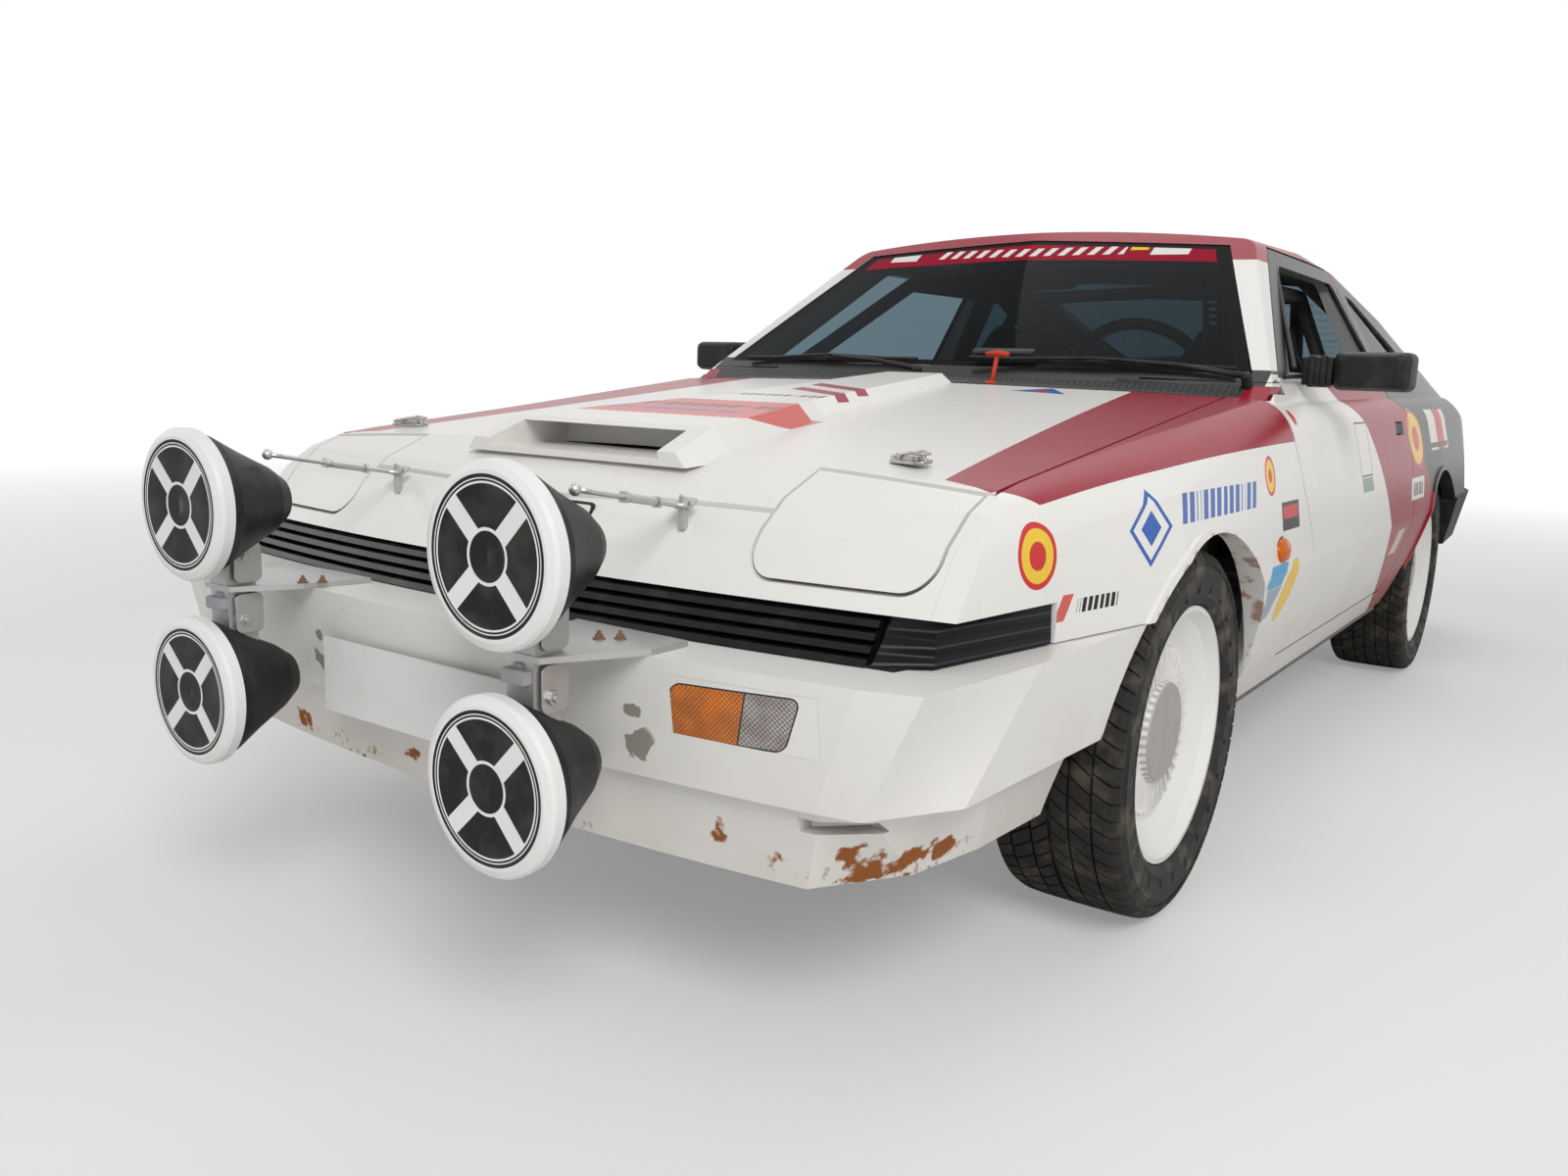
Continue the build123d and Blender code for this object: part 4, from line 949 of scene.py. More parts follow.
def piece(name, mesh, look, body, smooth=False, bevel=0.0):
    if isinstance(mesh, tuple):
        mesh = meshOf(name, mesh)
    mesh.materials.clear()
    mesh.materials.append(looks[look])
    mesh.polygons.foreach_set("use_smooth", [smooth] * len(mesh.polygons))
    thing = added(name, mesh)
    if bevel:
        edge = thing.modifiers.new("edge", "BEVEL")
        edge.width = bevel
        edge.segments = 2
        edge.limit_method = "ANGLE"
    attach(thing, body)
    return thing


def walled(thing, thickness, offset=0):
    wall = thing.modifiers.new("wall", "SOLIDIFY")
    wall.thickness = thickness
    wall.offset = offset


def makeRepeater():
    # copies of a mesh set out by a step and a turn, then made real
    group = bpy.data.node_groups.new("repeatPiece", "GeometryNodeTree")
    inputs = {"Geometry": "Geometry", "Count": "Int", "Step": "Vector", "Turn": "Vector", "Finish": "Material"}
    for name, kind in inputs.items():
        group.interface.new_socket(name, in_out="INPUT", socket_type="NodeSocket" + kind)
    group.interface.new_socket("Geometry", in_out="OUTPUT", socket_type="NodeSocketGeometry")
    kinds = ("NodeGroupInput", "GeometryNodeMeshLine", "GeometryNodeInputIndex", "ShaderNodeVectorMath",
             "GeometryNodeInstanceOnPoints", "GeometryNodeRealizeInstances", "GeometryNodeSetMaterial",
             "NodeGroupOutput")
    source, line, index, turn, copies, real, finish, output = [group.nodes.new(kind) for kind in kinds]
    line.mode = "OFFSET"
    turn.operation = "SCALE"
    for start, end in (
            (source.outputs["Count"], line.inputs["Count"]), (source.outputs["Step"], line.inputs["Offset"]),
            (source.outputs["Turn"], turn.inputs[0]), (index.outputs[0], turn.inputs["Scale"]),
            (line.outputs[0], copies.inputs["Points"]), (source.outputs["Geometry"], copies.inputs["Instance"]),
            (turn.outputs[0], copies.inputs["Rotation"]), (copies.outputs[0], real.inputs[0]),
            (real.outputs[0], finish.inputs["Geometry"]), (source.outputs["Finish"], finish.inputs["Material"]),
            (finish.outputs[0], output.inputs[0])):
        group.links.new(start, end)
    return group


repeater = makeRepeater()


def repeated(form, count, step, turn, look):
    thing = added("pattern", meshOf("pattern", form))
    modifier = thing.modifiers.new("repeat", "NODES")
    modifier.node_group = repeater
    values = {"Count": count, "Step": step, "Turn": turn, "Finish": looks[look]}
    for socket in repeater.interface.items_tree:
        if socket.in_out == "INPUT" and socket.name in values:
            modifier[socket.identifier] = values[socket.name]
    thing.update_tag()
    graph = bpy.context.evaluated_depsgraph_get()
    mesh = bpy.data.meshes.new_from_object(thing.evaluated_get(graph))
    bpy.data.objects.remove(thing)
    return formFrom(mesh)


def roundAxle(form, count, look):
    return repeated(form, count, (0, 0, 0), (2 * math.pi / count, 0, 0), look)


# Tyres: carcass with rim strips and bars, and three rows of lugs each side in a V
tyreLook = {
    "half": [(0.0857, 0.2053), (0.0907, 0.2210), (0.0965, 0.2235), (0.1030, 0.2255), (0.1062, 0.2290),
             (0.1078, 0.2365), (0.1092, 0.2370), (0.1092, 0.2395), (0.1086, 0.2400), (0.1108, 0.2560),
             (0.1112, 0.2680), (0.1108, 0.2760), (0.1114, 0.2765), (0.1112, 0.2790), (0.1096, 0.2795),
             (0.1066, 0.2950), (0.1000, 0.3045), (0.0880, 0.3078), (0.0400, 0.3090), (0.0000, 0.3094)],
    "steps": 144,
    "pitches": 66,
    "rows": [(0.004, 0.017, 0.030), (0.0345, 0.051, 0.067), (0.0715, 0.090, 0.1005, 0.1085)],
    "crown": [(0.0, 0.3170), (0.067, 0.3163), (0.0715, 0.3160), (0.090, 0.3146), (0.1005, 0.3108), (0.1085, 0.3000)],
    "lean": 0.23,
    "leanReach": 0.11,
    "leanPower": 1.3,
    "rowShift": 0.25,
    "share": 0.42,
    "footShare": 1.12,
    "deep": 0.009,
    "bars": 24,
    "barHalf": (0.004, 0.007),
    "barThick": 0.003,
    "barPlace": (0.1119, 0, 0.2535),
    "track": 0.697,
    "valve": [(0.058, -0.140, -0.060), (0.075, -0.150, -0.064)],
    "valveRadius": 0.004,
}


def level(table, value):
    for (lowX, lowY), (highX, highY) in zip(table, table[1:]):
        if value <= highX:
            return lowY + (highY - lowY) * (value - lowX) / (highX - lowX)
    return table[-1][1]


def lugForm():
    pitch = 2 * math.pi / tyreLook["pitches"]
    forms = []
    for side in (1, -1):
        shift = 0.5 * pitch if side < 0 else 0
        for row, stations in enumerate(tyreLook["rows"]):
            points, faces = [], []
            for u in stations:
                lean = tyreLook["lean"] * (1 - u / tyreLook["leanReach"]) ** tyreLook["leanPower"]
                centre = lean + shift + row * tyreLook["rowShift"] * pitch
                top = level(tyreLook["crown"], u)
                for radius, share in ((top, 1), (top - tyreLook["deep"], tyreLook["footShare"])):
                    for edge in (-1, 1):
                        angle = centre + edge * tyreLook["share"] * pitch * share
                        points.append((side * u, radius * math.sin(angle), radius * math.cos(angle)))
            for a in range(0, 4 * (len(stations) - 1), 4):
                faces += [(a, a + 1, a + 5, a + 4), (a, a + 4, a + 6, a + 2), (a + 1, a + 3, a + 7, a + 5),
                          (a + 2, a + 6, a + 7, a + 3)]
            last = 4 * (len(stations) - 1)
            faces += [(0, 2, 3, 1), (last, last + 1, last + 3, last + 2)]
            forms.append(formOf(points, faces))
    return joined(*forms)


def makeTyres():
    half = tyreLook["half"]
    profile = half + [(-x, r) for x, r in reversed(half[:-1])]
    carcass = latheForm(profile, (0, 0, 0), (1, 0, 0), tyreLook["steps"])
    inner = latheForm([profile[-1], profile[0]], (0, 0, 0), (1, 0, 0), tyreLook["steps"])
    u, v = tyreLook["barHalf"]
    bar = slabForm([(-u, -v), (u, -v), (u, v), (-u, v)], tyreLook["barThick"], tyreLook["barPlace"],
                   (0, 1, 0), (0, 0, 1))
    tyre = joined(carcass, inner, roundAxle(bar, tyreLook["bars"], "rubber"))
    lugs = roundAxle(lugForm(), tyreLook["pitches"], "treadRubber")
    for end in ("front", "rear"):
        for side, sign in sides:
            wheel = f"wheel_{end}_{side}"
            centre = Vector(joints[f"roll_{end}_{side}"]["pos_m"])
            centre.x = sign * tyreLook["track"]
            for label, form, look in (("tyre", tyre, "rubber"), ("tread", lugs, "treadRubber")):
                points, faces = onSide(form, sign)
                placed = ([point + centre for point in points], faces)
                smooth = label == "tyre"
                part = piece(f"{label}_{end}_{side}_dressed", placed, look, wheel, smooth)
                if smooth:
                    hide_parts(f"tyre_{end}_{side}")
            valve = [centre + Vector((sign * x, y, z)) for x, y, z in tyreLook["valve"]]
            valve = tubeForm(valve, tyreLook["valveRadius"], 8)
            piece(f"valve_{end}_{side}", valve, "blackPlastic", wheel)


makeTyres()
print("tyres made")

# Bonnet latches: oval plates with a bow and a hook, on the bonnet behind the lamps
latchLook = {
    "places": [(0.528, -0.492, 0.782), (-0.600, -0.490, 0.778)],
    "turn": -18,
    "up": (0, -0.113, 1),
    "base": (0.036, 0.018, 0.016, 0.004),
    "lid": (0.020, 0.010, 0.008, 0.007),
    "bow": [(-0.030, -0.011, 0.004), (0.012, -0.012, 0.012), (0.034, -0.006, 0.010), (0.034, 0.006, 0.010),
            (0.012, 0.012, 0.012), (-0.030, 0.011, 0.004)],
    "bowRadius": 0.0022,
    "pin": [(-0.012, -0.014, 0.006), (-0.012, 0.014, 0.006)],
    "pinRadius": 0.0045,
    "bolts": (-0.030, 0.030),
    "boltSize": (0.003, 0.003),
}


def makeLatches():
    forms = []
    up = Vector(latchLook["up"]).normalized()
    for place in latchLook["places"]:
        angle = math.radians(latchLook["turn"] if place[0] > 0 else -latchLook["turn"])
        along = Vector((math.cos(angle), math.sin(angle), 0))
        across = up.cross(along).normalized()
        centre = at(*place)
        bow, pin = [[centre + along * u + across * v + up * w for u, v, w in latchLook[key]]
                    for key in ("bow", "pin")]
        forms += [plateForm(latchLook["base"], centre, along, across),
                  plateForm(latchLook["lid"], centre + up * latchLook["lid"][3], along, across),
                  tubeForm(bow, latchLook["bowRadius"], 8), tubeForm(pin, latchLook["pinRadius"], 10)]
        forms += [boltForm(centre + along * u, up, *latchLook["boltSize"]) for u in latchLook["bolts"]]
    piece("bonnet_latches", joined(*forms), "chrome", "bonnet", bevel=0.0006)


makeLatches()

# Bracket bolts with rust, and the lamp pivots with their cheeks
boltLook = {
    "rows": [(0.338, -0.928), (0.357, -0.909), (-0.259, -0.955), (-0.240, -0.934)],
    "top": 0.5585,
    "size": (0.0055, 0.006),
    "pivots": [(0.3535, 1), (0.3045, -1)],
    "pivotPlaces": (-1.027, 0.600, 0.505),
    "pivotSize": (0.010, 0.009),
    "cheek": (0.022, 0.030, 0.010, 0.003),
    "cheekPlaces": [(x, -1.020, z) for x in (0.300, 0.3565) for z in (0.592, 0.515)],
}


def makeBolts():
    rusty = [boltForm(at(x, s, boltLook["top"]), (0, 0, 1), *boltLook["size"]) for x, s in boltLook["rows"]]
    station, *heights = boltLook["pivotPlaces"]
    pivots = [boltForm(at(x, station, z), (sign, 0, 0), *boltLook["pivotSize"])
              for z in heights for x, sign in boltLook["pivots"]]
    cheeks = [plateForm(boltLook["cheek"], at(*place), (0, 1, 0)) for place in boltLook["cheekPlaces"]]
    piece("bracket_bolts", joined(*rusty), "rustySteel", "body")
    piece("lamp_pivots", bothSides(joined(*pivots, *cheeks)), "zincSteel", "body", bevel=0.0008)


makeBolts()

# Plug housings over the lower lamps, each a box, a lip and a clip: size, then place
plugLook = [
    ((0.021, 0.009, 0.003, 0.026), (0.326, -1.061, 0.531)),
    ((0.023, 0.011, 0.004, 0.003), (0.326, -1.040, 0.531)),
    ((0.007, 0.004, 0.0015, 0.016), (0.326, -1.054, 0.543)),
]


def makePlugs():
    forms = [plateForm(size, at(*place)) for size, place in plugLook]
    piece("lamp_plugs", bothSides(joined(*forms)), "plugGrey", "body", bevel=0.0008)


makePlugs()

# Stay rod fittings: hooks, lock nuts and feet on the nose
stayLook = {
    "rods": [((0.352, -0.985, 0.752), (0.312, -0.738, 0.712)), ((-0.292, -0.985, 0.752), (-0.312, -0.738, 0.712))],
    "nuts": (0.42, 0.73),
    "nutHalf": 0.004,
    "nutRadius": 0.0085,
    "eyeReach": 0.012,
    "eyeRadius": 0.010,
    "wire": 0.003,
    "foot": (0.016, 0.012, 0.006, 0.003),
    "footShift": (0, 0.004, 0.005),
    "footUp": (0, 0.84, 0.54),
    "boltShift": (0, 0, 0.006),
    "boltAxis": (0, -0.5, 0.8),
    "boltSize": (0.006, 0.006),
}


def makeStayFittings():
    forms = []
    for front, back in stayLook["rods"]:
        start, end = at(*front), at(*back)
        run = (end - start).normalized()
        side, _ = frameAlong(run)
        for share in stayLook["nuts"]:
            centre = start.lerp(end, share)
            nut = [centre - run * stayLook["nutHalf"], centre + run * stayLook["nutHalf"]]
            forms.append(tubeForm(nut, stayLook["nutRadius"], 6))
        for centre, away in ((start, 1), (end, -1)):
            eye = [centre + run * away * stayLook["eyeReach"]
                   + stayLook["eyeRadius"] * (math.cos(a) * run + math.sin(a) * side)
                   for a in [math.radians(step) for step in range(0, 361, 30)]]
            forms.append(tubeForm(eye, stayLook["wire"], 8))
        forms.append(plateForm(stayLook["foot"], end + Vector(stayLook["footShift"]), up=stayLook["footUp"]))
        forms.append(boltForm(end + Vector(stayLook["boltShift"]), stayLook["boltAxis"], *stayLook["boltSize"]))
    piece("stay_fittings", joined(*forms), "zincSteel", "body")


makeStayFittings()
print("front fittings made")

# Wipers parked along the windscreen's foot, and the wing on one of them
wiperLook = {
    "arms": [
        {"pivot": (0.690, 0.585, 0.916), "elbow": (0.42, 0.560, 0.945),
         "tips": ((0.660, 0.612, 0.938), (0.085, 0.530, 0.948))},
        {"pivot": (-0.020, 0.480, 0.912), "elbow": (-0.28, 0.520, 0.940),
         "tips": ((-0.050, 0.527, 0.942), (-0.600, 0.600, 0.937))},
    ],
    "up": (0, -0.5, 0.86),
    "cap": [(-0.02, 0.011), (0.010, 0.011), (0.016, 0.008), (0.018, 0.0)],
    "armRises": (0.010, 0.014, 0.008),
    "armRadii": [0.007, 0.005, 0.0035],
    "bridge": [(0.2, 0.004), (0.5, 0.012), (0.8, 0.004)],
    "spine": [(0.0, 0.002), (0.5, 0.003), (1.0, 0.002)],
    "blade": [(0.0, -0.003), (0.5, -0.003), (1.0, -0.003)],
    "bridgeRadius": 0.0035,
    "spineRadius": 0.004,
    "bladeRadius": 0.0035,
    "wing": (0.074, 0.011, 0.006, 0.003),
    "wingPlace": (0.150, 0.566, 0.966),
    "wingSides": ((1, 0.06, 0), (0, 0.82, 0.56)),
}


def makeWipers():
    up = Vector(wiperLook["up"])
    metal, blades = [], []
    for arm in wiperLook["arms"]:
        pivot, elbow = at(*arm["pivot"]), at(*arm["elbow"])
        first, last = [at(*tip) for tip in arm["tips"]]
        knees = zip((pivot, pivot.lerp(elbow, 0.5), elbow), wiperLook["armRises"])
        bridge, spine, blade = [[first.lerp(last, share) + up * rise for share, rise in wiperLook[key]]
                                for key in ("bridge", "spine", "blade")]
        metal += [latheForm(wiperLook["cap"], pivot, up, 16),
                  tubeForm([point + up * rise for point, rise in knees], wiperLook["armRadii"], 8),
                  tubeForm(bridge, wiperLook["bridgeRadius"], 8), tubeForm(spine, wiperLook["spineRadius"], 8)]
        blades.append(tubeForm(blade, wiperLook["bladeRadius"], 6))
    blades.append(plateForm(wiperLook["wing"], at(*wiperLook["wingPlace"]), *wiperLook["wingSides"]))
    piece("wipers", joined(*metal, *blades), "blackPlastic", "body", smooth=True)


makeWipers()

# Red pull handle on the cowl: stem, grip and foot, each with its points, radii and steps
handleLook = [
    ([(0.173, 0.470, 0.885), (0.173, 0.490, 0.950)], 0.005, 10),
    ([(0.145, 0.492, 0.956), (0.173, 0.494, 0.959), (0.201, 0.492, 0.956)], [0.005, 0.0070, 0.005], 10),
    ([(0.173, 0.466, 0.880), (0.173, 0.472, 0.893)], 0.015, 16),
]


def makeCowlHandle():
    forms = [tubeForm([at(*point) for point in points], radii, steps) for points, radii, steps in handleLook]
    piece("pull_handle", joined(*forms), "handleRed", "body", smooth=True)


makeCowlHandle()

# Mirrors: rounded housing on a ribbed stalk, the glass facing the tail
mirrorLook = {
    "centre": (0.8805, 0.836, 0.944),
    "half": (0.0775, 0.041),
    "corner": 0.016,
    "rows": [(-0.044, 0.72), (-0.036, 0.86), (-0.018, 0.97), (0.010, 1.0), (0.044, 1.0)],
    "glassHalf": (0.072, 0.034),
    "glassThick": 0.003,
    "glassStation": 0.8815,
    "stalk": (0.742, 0.803),
    "ribs": 5,
    "ribWide": 0.0128,
    "ribSwell": 0.004,
    "ribLow": (0.814, 0.912),
    "ribHigh": (0.876, 0.972),
}


def mirrorHousing():
    x, station, z = mirrorLook["centre"]
    outline = roundedOutline(*mirrorLook["half"], mirrorLook["corner"])
    rows, count = len(mirrorLook["rows"]), len(outline)
    points = [at(x + u * size, station + deep, z + v * size) for deep, size in mirrorLook["rows"] for u, v in outline]
    faces = []
    for low in range(0, (rows - 1) * count, count):
        high = low + count
        faces += [(low + i, high + i, high + (i + 1) % count, low + (i + 1) % count) for i in range(count)]
    faces += [tuple(range(count)), tuple(reversed(range(count * (rows - 1), count * rows)))]
    forms = [(points, faces)]
    inner, outer = mirrorLook["stalk"]
    for rib in range(mirrorLook["ribs"]):
        x = inner + (outer - inner) * rib / mirrorLook["ribs"]
        swell = mirrorLook["ribSwell"] * (rib % 2)
        low = at(x, *[value - swell for value in mirrorLook["ribLow"]])
        high = at(x + mirrorLook["ribWide"], *[value + swell for value in mirrorLook["ribHigh"]])
        forms.append(boxForm(low, high))
    return joined(*forms)


def makeMirrors():
    x, _, z = mirrorLook["centre"]
    u, v = mirrorLook["glassHalf"]
    glass = slabForm([(-u, -v), (u, -v), (u, v), (-u, v)], mirrorLook["glassThick"],
                     at(x, mirrorLook["glassStation"], z), (-1, 0, 0), (0, 0, 1))
    for side, sign in sides:
        door = f"door_{side}"
        housing = piece(f"mirror_housing_{side}", onSide(mirrorHousing(), sign), "blackPlastic", door,
                        bevel=0.0025)
        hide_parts(f"mirror_{side}")
        piece(f"mirror_glass_{side}", onSide(glass, sign), "mirrorGlass", door)


makeMirrors()

# Door furniture: flap handle in its recess, lock, weather strip and the window's guide
doorLook = {
    "up": (-0.15, 0, 1),
    "flap": ((0.050, 0.014, 0.006, 0.012), (0.802, 1.712, 0.807)),
    "frame": ((0.0565, 0.0175, 0.004, 0.004), (0.794, 1.712, 0.808)),
    "lock": (0.8055, 1.795, 0.738),
    "lockProfile": [(-0.004, 0.012), (0.004, 0.012), (0.006, 0.009), (0.006, 0.0)],
    "lockAxis": (1, 0, 0.1),
    "strip": [(0.737, 0.690, 0.926), (0.741, 0.820, 0.931), (0.738, 1.30, 0.933), (0.731, 1.795, 0.932)],
    "stripRadius": 0.0055,
    "guide": [(0.725, 0.815, 0.945), (0.572, 1.172, 1.193), (0.563, 1.210, 1.206), (0.563, 1.740, 1.206),
              (0.573, 1.768, 1.190), (0.716, 1.801, 0.945)],
    "guideRadius": 0.006,
}


def makeDoorFittings():
    plates = [plateForm(size, at(*place), (0, 1, 0), doorLook["up"])
              for size, place in (doorLook["flap"], doorLook["frame"])]
    rods = [tubeForm([at(*point) for point in doorLook[key]], doorLook[key + "Radius"], 8)
            for key in ("strip", "guide")]
    barrel = latheForm(doorLook["lockProfile"], at(*doorLook["lock"]), doorLook["lockAxis"], 20)
    for side, sign in sides:
        door = f"door_{side}"
        trim = onSide(joined(*plates, *rods), sign)
        piece(f"door_trim_{side}", trim, "blackPlastic", door, bevel=0.001)
        piece(f"door_lock_{side}", onSide(barrel, sign), "darkMetal", door, smooth=True)


makeDoorFittings()

# Amber side markers on the fenders, long rounded lens on a black foot
markerLook = {
    "place": (0.835, 0.398, 0.599),
    "axis": (1, 0, 0.1),
    "lens": [(0, 0.024), (0.006, 0.0235), (0.012, 0.018), (0.015, 0.009), (0.016, 0.0)],
    "foot": [(-0.006, 0.027), (0.002, 0.027), (0.002, 0.022)],
    "stretch": 1.55,
}


def makeMarkers():
    centre = at(*markerLook["place"])
    for name, key, look, slot in (("side_markers", "lens", "amberLens", "amber_lens"),
                                  ("marker_feet", "foot", "blackPlastic", "black_trim")):
        points, faces = latheForm(markerLook[key], centre, markerLook["axis"], 28)
        longer = [Vector((p.x, centre.y + (p.y - centre.y) * markerLook["stretch"], p.z)) for p in points]
        piece(name, bothSides((longer, faces)), look, "body", smooth=key == "lens")


makeMarkers()

# Blank plate lying on the nose panel with its dark border
plateLook = {
    "board": ((0.163, 0.026, 0.004, 0.003), (-0.027, -0.7505, 0.6745)),
    "border": ((0.168, 0.031, 0.006, 0.003), (-0.027, -0.7490, 0.6740)),
    "up": (0, 0.46, 0.89),
}


def makeNosePlate():
    board, border = [plateForm(size, at(*place), up=plateLook["up"])
                     for size, place in (plateLook["board"], plateLook["border"])]
    piece("nose_plate", board, "plateWhite", "body")
    piece("nose_plate_border", border, "glossBlack", "body")


makeNosePlate()
print("body fittings made")

# Bucket seats: a moulded shell with harness holes, by rows along its side view
seatLook = {
    "x": 0.345,
    "line": [(1.235, 0.535), (1.300, 0.492), (1.400, 0.452), (1.500, 0.436), (1.580, 0.446), (1.632, 0.492),
             (1.662, 0.565), (1.690, 0.660), (1.722, 0.760), (1.752, 0.850), (1.775, 0.920), (1.788, 0.960),
             (1.800, 1.000), (1.815, 1.045), (1.828, 1.078)],
    "half": [0.190, 0.196, 0.198, 0.198, 0.194, 0.190, 0.188, 0.190, 0.200, 0.212, 0.196, 0.172, 0.150, 0.136,
             0.118],
    "bolster": [0.080, 0.100, 0.105, 0.095, 0.085, 0.085, 0.095, 0.105, 0.110, 0.105, 0.080, 0.060, 0.055, 0.045,
                0.030],
    "flat": 0.42,
    "bolsterPower": 1.7,
    "columns": 24,
    "holes": {"row": 10, "low": 0.22, "high": 0.62},
    "wall": 0.016,
}


def seatPoint(row, share, lift=0.0):
    # a point of the seat's inner face: row along its side view, share from -1 to 1 across it
    line = seatLook["line"]
    index = min(int(row), len(line) - 2)
    part = row - index

    def along(values):
        return values[index] + (values[index + 1] - values[index]) * part

    s, z = along([point[0] for point in line]), along([point[1] for point in line])
    ahead, behind = line[min(index + 1, len(line) - 1)], line[max(index - 1, 0)]
    run = Vector((0, ahead[0] - behind[0], ahead[1] - behind[1])).normalized()
    normal = Vector((0, -run.z, run.y))
    flat, power = seatLook["flat"], seatLook["bolsterPower"]
    rise = along(seatLook["bolster"]) * max(0.0, abs(share) - flat) ** power / (1 - flat) ** power + lift
    return at(seatLook["x"] + share * along(seatLook["half"]), s, z) + normal * rise


def makeSeatShells():
    columns, rows, hole = seatLook["columns"], len(seatLook["line"]), seatLook["holes"]
    points = [seatPoint(row, -1 + 2 * column / columns) for row in range(rows) for column in range(columns + 1)]
    faces = []
    for row in range(rows - 1):
        for column in range(columns):
            middle = abs(-1 + 2 * (column + 0.5) / columns)
            if row == hole["row"] and hole["low"] < middle < hole["high"]:
                continue
            a = row * (columns + 1) + column
            faces.append((a, a + 1, a + columns + 2, a + columns + 1))
    mesh = rawMesh("seat_shells", bothSides((points, faces)))
    shells = piece("seat_shells", mesh, "shellPlastic", "body", smooth=True)
    walled(shells, seatLook["wall"], -1)
    soft = shells.modifiers.new("soft", "SUBSURF")
    soft.levels = soft.render_levels = 1
    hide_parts("seats")


# Pads: rows of the seat's line they cover, share of its width, thickness; then how they swell
padLook = {
    "pads": {
        "cushion": ((0.3, 4.6), 0.62, 0.028),
        "back": ((5.2, 9.5), 0.60, 0.024),
        "head": ((11.3, 13.6), 0.62, 0.018),
    },
    "cells": 14,
    "clear": (0.002, 0.006),
    "seam": {"place": 0.5, "width": 0.07, "deep": 0.006},
    "voxel": 0.006,
    "pressure": 4.0,
    "frames": 20,
    "reach": 0.009,
    "fill": 0.8,
}


def padForm(rows, width, thick):
    # crowned closed pad lying on the shell's inner face
    cells, seam, (under, over) = padLook["cells"], padLook["seam"], padLook["clear"]
    wide = cells + 1
    top, bottom, faces = [], [], []
    for i in range(wide):
        row = rows[0] + (rows[1] - rows[0]) * i / cells
        fade = 1 - abs(2 * i / cells - 1) ** 4
        for j in range(wide):
            share = -1 + 2 * j / cells
            crown = fade * (1 - abs(share) ** 4)
            dip = seam["deep"] * math.exp(-((abs(share) - seam["place"]) / seam["width"]) ** 2) * fade
            top.append(seatPoint(row, share * width, over + thick * crown ** 0.5 - dip))
            bottom.append(seatPoint(row, share * width, under))
    count = len(top)
    for a in (i * wide + j for i in range(cells) for j in range(cells)):
        faces.append((a, a + 1, a + wide + 1, a + wide))
        faces.append((count + a, count + a + wide, count + a + wide + 1, count + a + 1))
    rim = list(range(cells)) + [i * wide + cells for i in range(cells)]
    rim += [count - 1 - j for j in range(cells)] + [i * wide for i in range(cells, 0, -1)]
    faces += [(a, b, b + count, a + count) for a, b in zip(rim, rim[1:] + rim[:1])]
    return top + bottom, faces


def puffed(form, name):
    # cloth under pressure swells the pad, and no point goes further than its reach
    thing = added(name, meshOf(name, form))
    even = thing.modifiers.new("even", "REMESH")
    even.mode = "VOXEL"
    even.voxel_size = padLook["voxel"]
    graph = bpy.context.evaluated_depsgraph_get()
    start = bpy.data.meshes.new_from_object(thing.evaluated_get(graph))
    thing.modifiers.remove(even)
    thing.data = start
    cloth = thing.modifiers.new("cloth", "CLOTH")
    cloth.settings.use_pressure = True
    cloth.settings.uniform_pressure_force = padLook["pressure"]
    cloth.settings.effector_weights.gravity = 0
    for frameNumber in range(1, padLook["frames"] + 1):
        scene.frame_set(frameNumber)
    graph = bpy.context.evaluated_depsgraph_get()
    swollen = bpy.data.meshes.new_from_object(thing.evaluated_get(graph))
    for before, after in zip(start.vertices, swollen.vertices):
        shift = after.co - before.co
        if shift.length > padLook["reach"]:
            after.co = before.co + shift * (padLook["reach"] / shift.length)
    bpy.data.objects.remove(thing)
    scene.frame_set(1)
    return formFrom(swollen)


def makeSeatPads():
    for name, size in padLook["pads"].items():
        form = padForm(*size)
        form = puffed(form, name)
        for side, sign in sides:
            pad = piece(f"seat_{name}_{side}", onSide(form, sign), "cloth", "body", smooth=True)


# Harness straps over the seat back: path by station and height, drawn together at the buckle
strapLook = {
    "path": [(1.880, 0.905), (1.800, 0.942), (1.752, 0.935), (1.700, 0.860), (1.665, 0.760), (1.632, 0.640),
             (1.585, 0.560)],
    "shifts": (-0.075, 0.075),
    "gather": -0.25,
    "half": 0.024,
    "thick": 0.003,
}


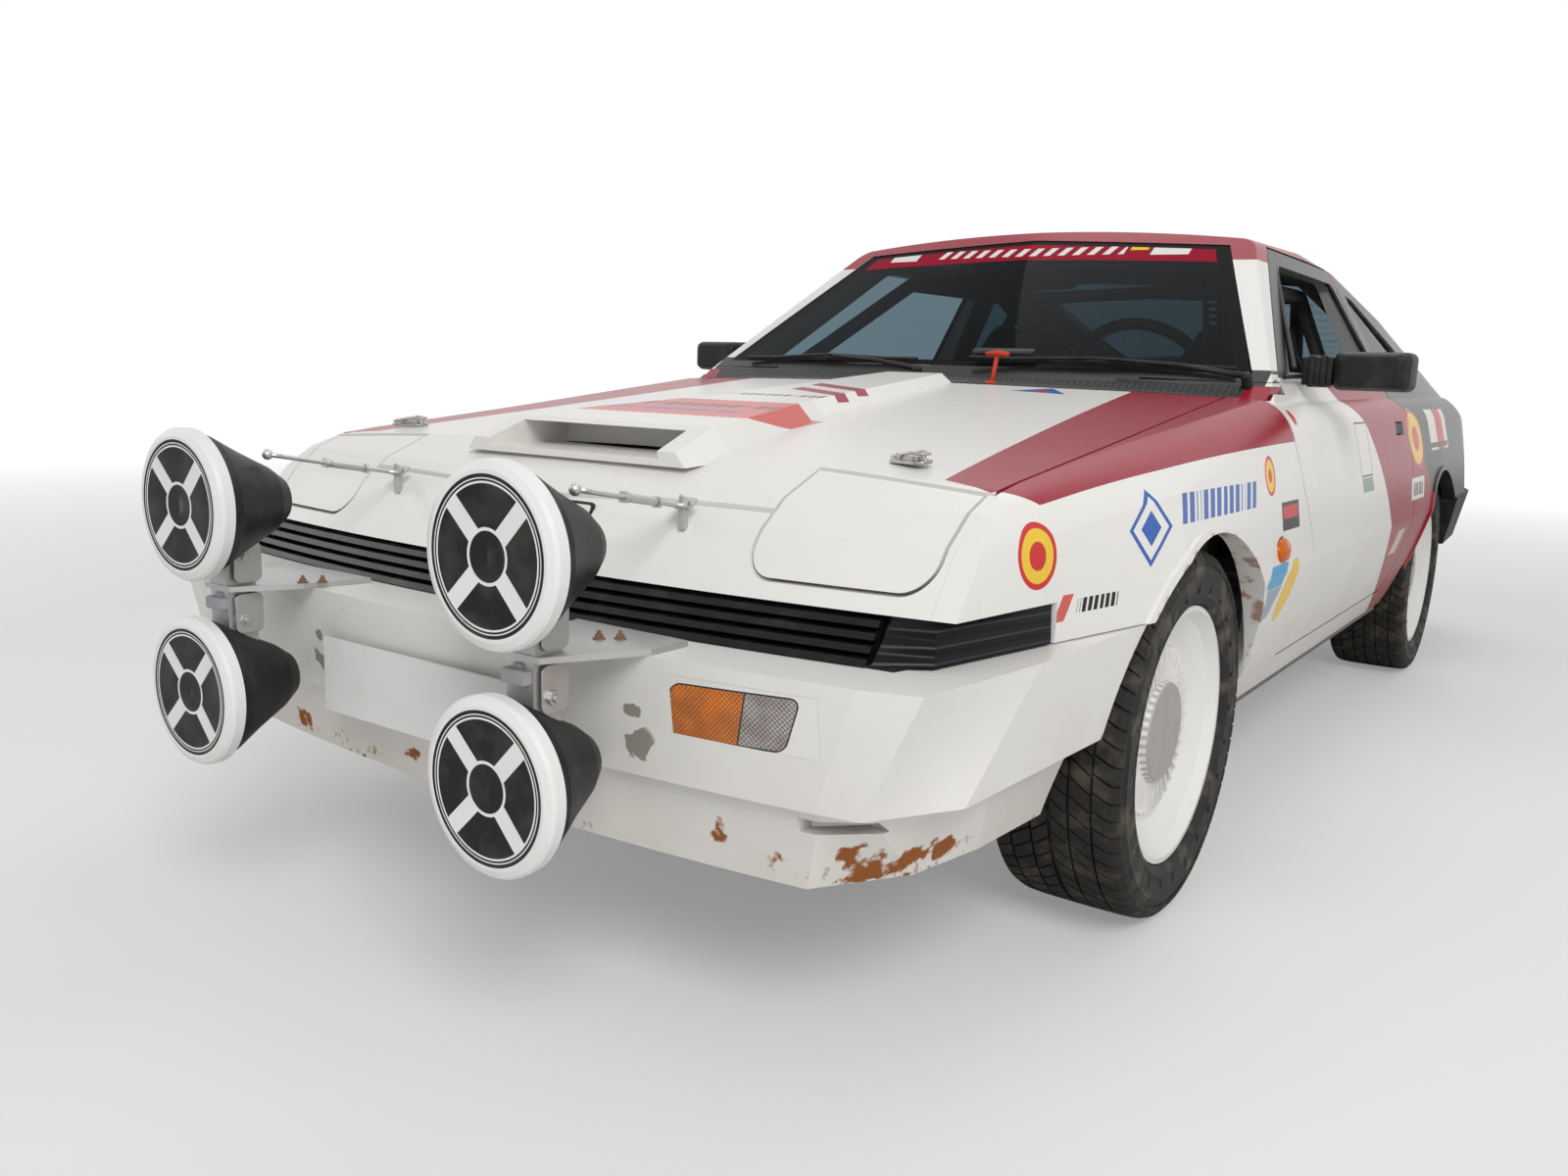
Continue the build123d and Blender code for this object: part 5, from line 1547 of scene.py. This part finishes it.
def makeStraps():
    forms, last = [], len(strapLook["path"]) - 1
    for shift in strapLook["shifts"]:
        points = []
        for i, (s, z) in enumerate(strapLook["path"]):
            x = seatLook["x"] + shift + shift * strapLook["gather"] * i / last
            points += [at(x - strapLook["half"], s, z), at(x + strapLook["half"], s, z)]
        forms.append((points, [(i, i + 1, i + 3, i + 2) for i in range(0, 2 * last, 2)]))
    mesh = rawMesh("harness_straps", bothSides(joined(*forms)))
    walled(piece("harness_straps", mesh, "cloth", "body"), strapLook["thick"])


makeSeatShells()
makeSeatPads()
makeStraps()
print("seats made")

# Perforated gussets along the cage's front legs, and the inside mirror
gussetLook = {
    "foot": (0.628, 0.735, 0.876),
    "head": (0.465, 1.160, 1.150),
    "inward": (-1, 0, 0.25),
    "clear": 0.016,
    "half": 0.023,
    "cells": 15,
    "hole": 0.011,
    "corners": 12,
    "thick": 0.003,
}
insideMirrorLook = {
    "board": (0.120, 0.028, 0.020, 0.018),
    "place": (-0.010, 1.045, 1.165),
    "up": (0, -0.2, 1),
    "stem": [(-0.010, 1.052, 1.170), (-0.010, 1.062, 1.215), (-0.010, 1.075, 1.252)],
    "stemRadius": 0.007,
}


def makeGussets():
    foot, head = at(*gussetLook["foot"]), at(*gussetLook["head"])
    cell = (head - foot).length / gussetLook["cells"]
    run = (head - foot).normalized()
    inward = Vector(gussetLook["inward"])
    inward = (inward - run * run.dot(inward)).normalized()
    half, corners = gussetLook["half"], gussetLook["corners"]
    centre = foot + run * cell / 2 + inward * (half + gussetLook["clear"])
    ring, square = [], []
    for step in range(corners):
        angle = 2 * math.pi * (step + 0.5) / corners
        u, v = math.cos(angle), math.sin(angle)
        reach = 1 / max(abs(u), abs(v))
        ring.append(centre + gussetLook["hole"] * (u * run + v * inward))
        square.append(centre + u * reach * cell / 2 * run + v * reach * half * inward)
    faces = [(i, (i + 1) % corners, (i + 1) % corners + corners, i + corners) for i in range(corners)]
    plates = repeated((ring + square, faces), gussetLook["cells"], run * cell, (0, 0, 0), "cagePaint")
    walled(piece("cage_gussets", bothSides(plates), "cagePaint", "body"), gussetLook["thick"])


def makeInsideMirror():
    board = plateForm(insideMirrorLook["board"], at(*insideMirrorLook["place"]), up=insideMirrorLook["up"])
    stem = tubeForm([at(*point) for point in insideMirrorLook["stem"]], insideMirrorLook["stemRadius"], 8)
    piece("inside_mirror", joined(board, stem), "blackPlastic", "body", bevel=0.003)


makeGussets()
makeInsideMirror()
print("cabin fittings made")
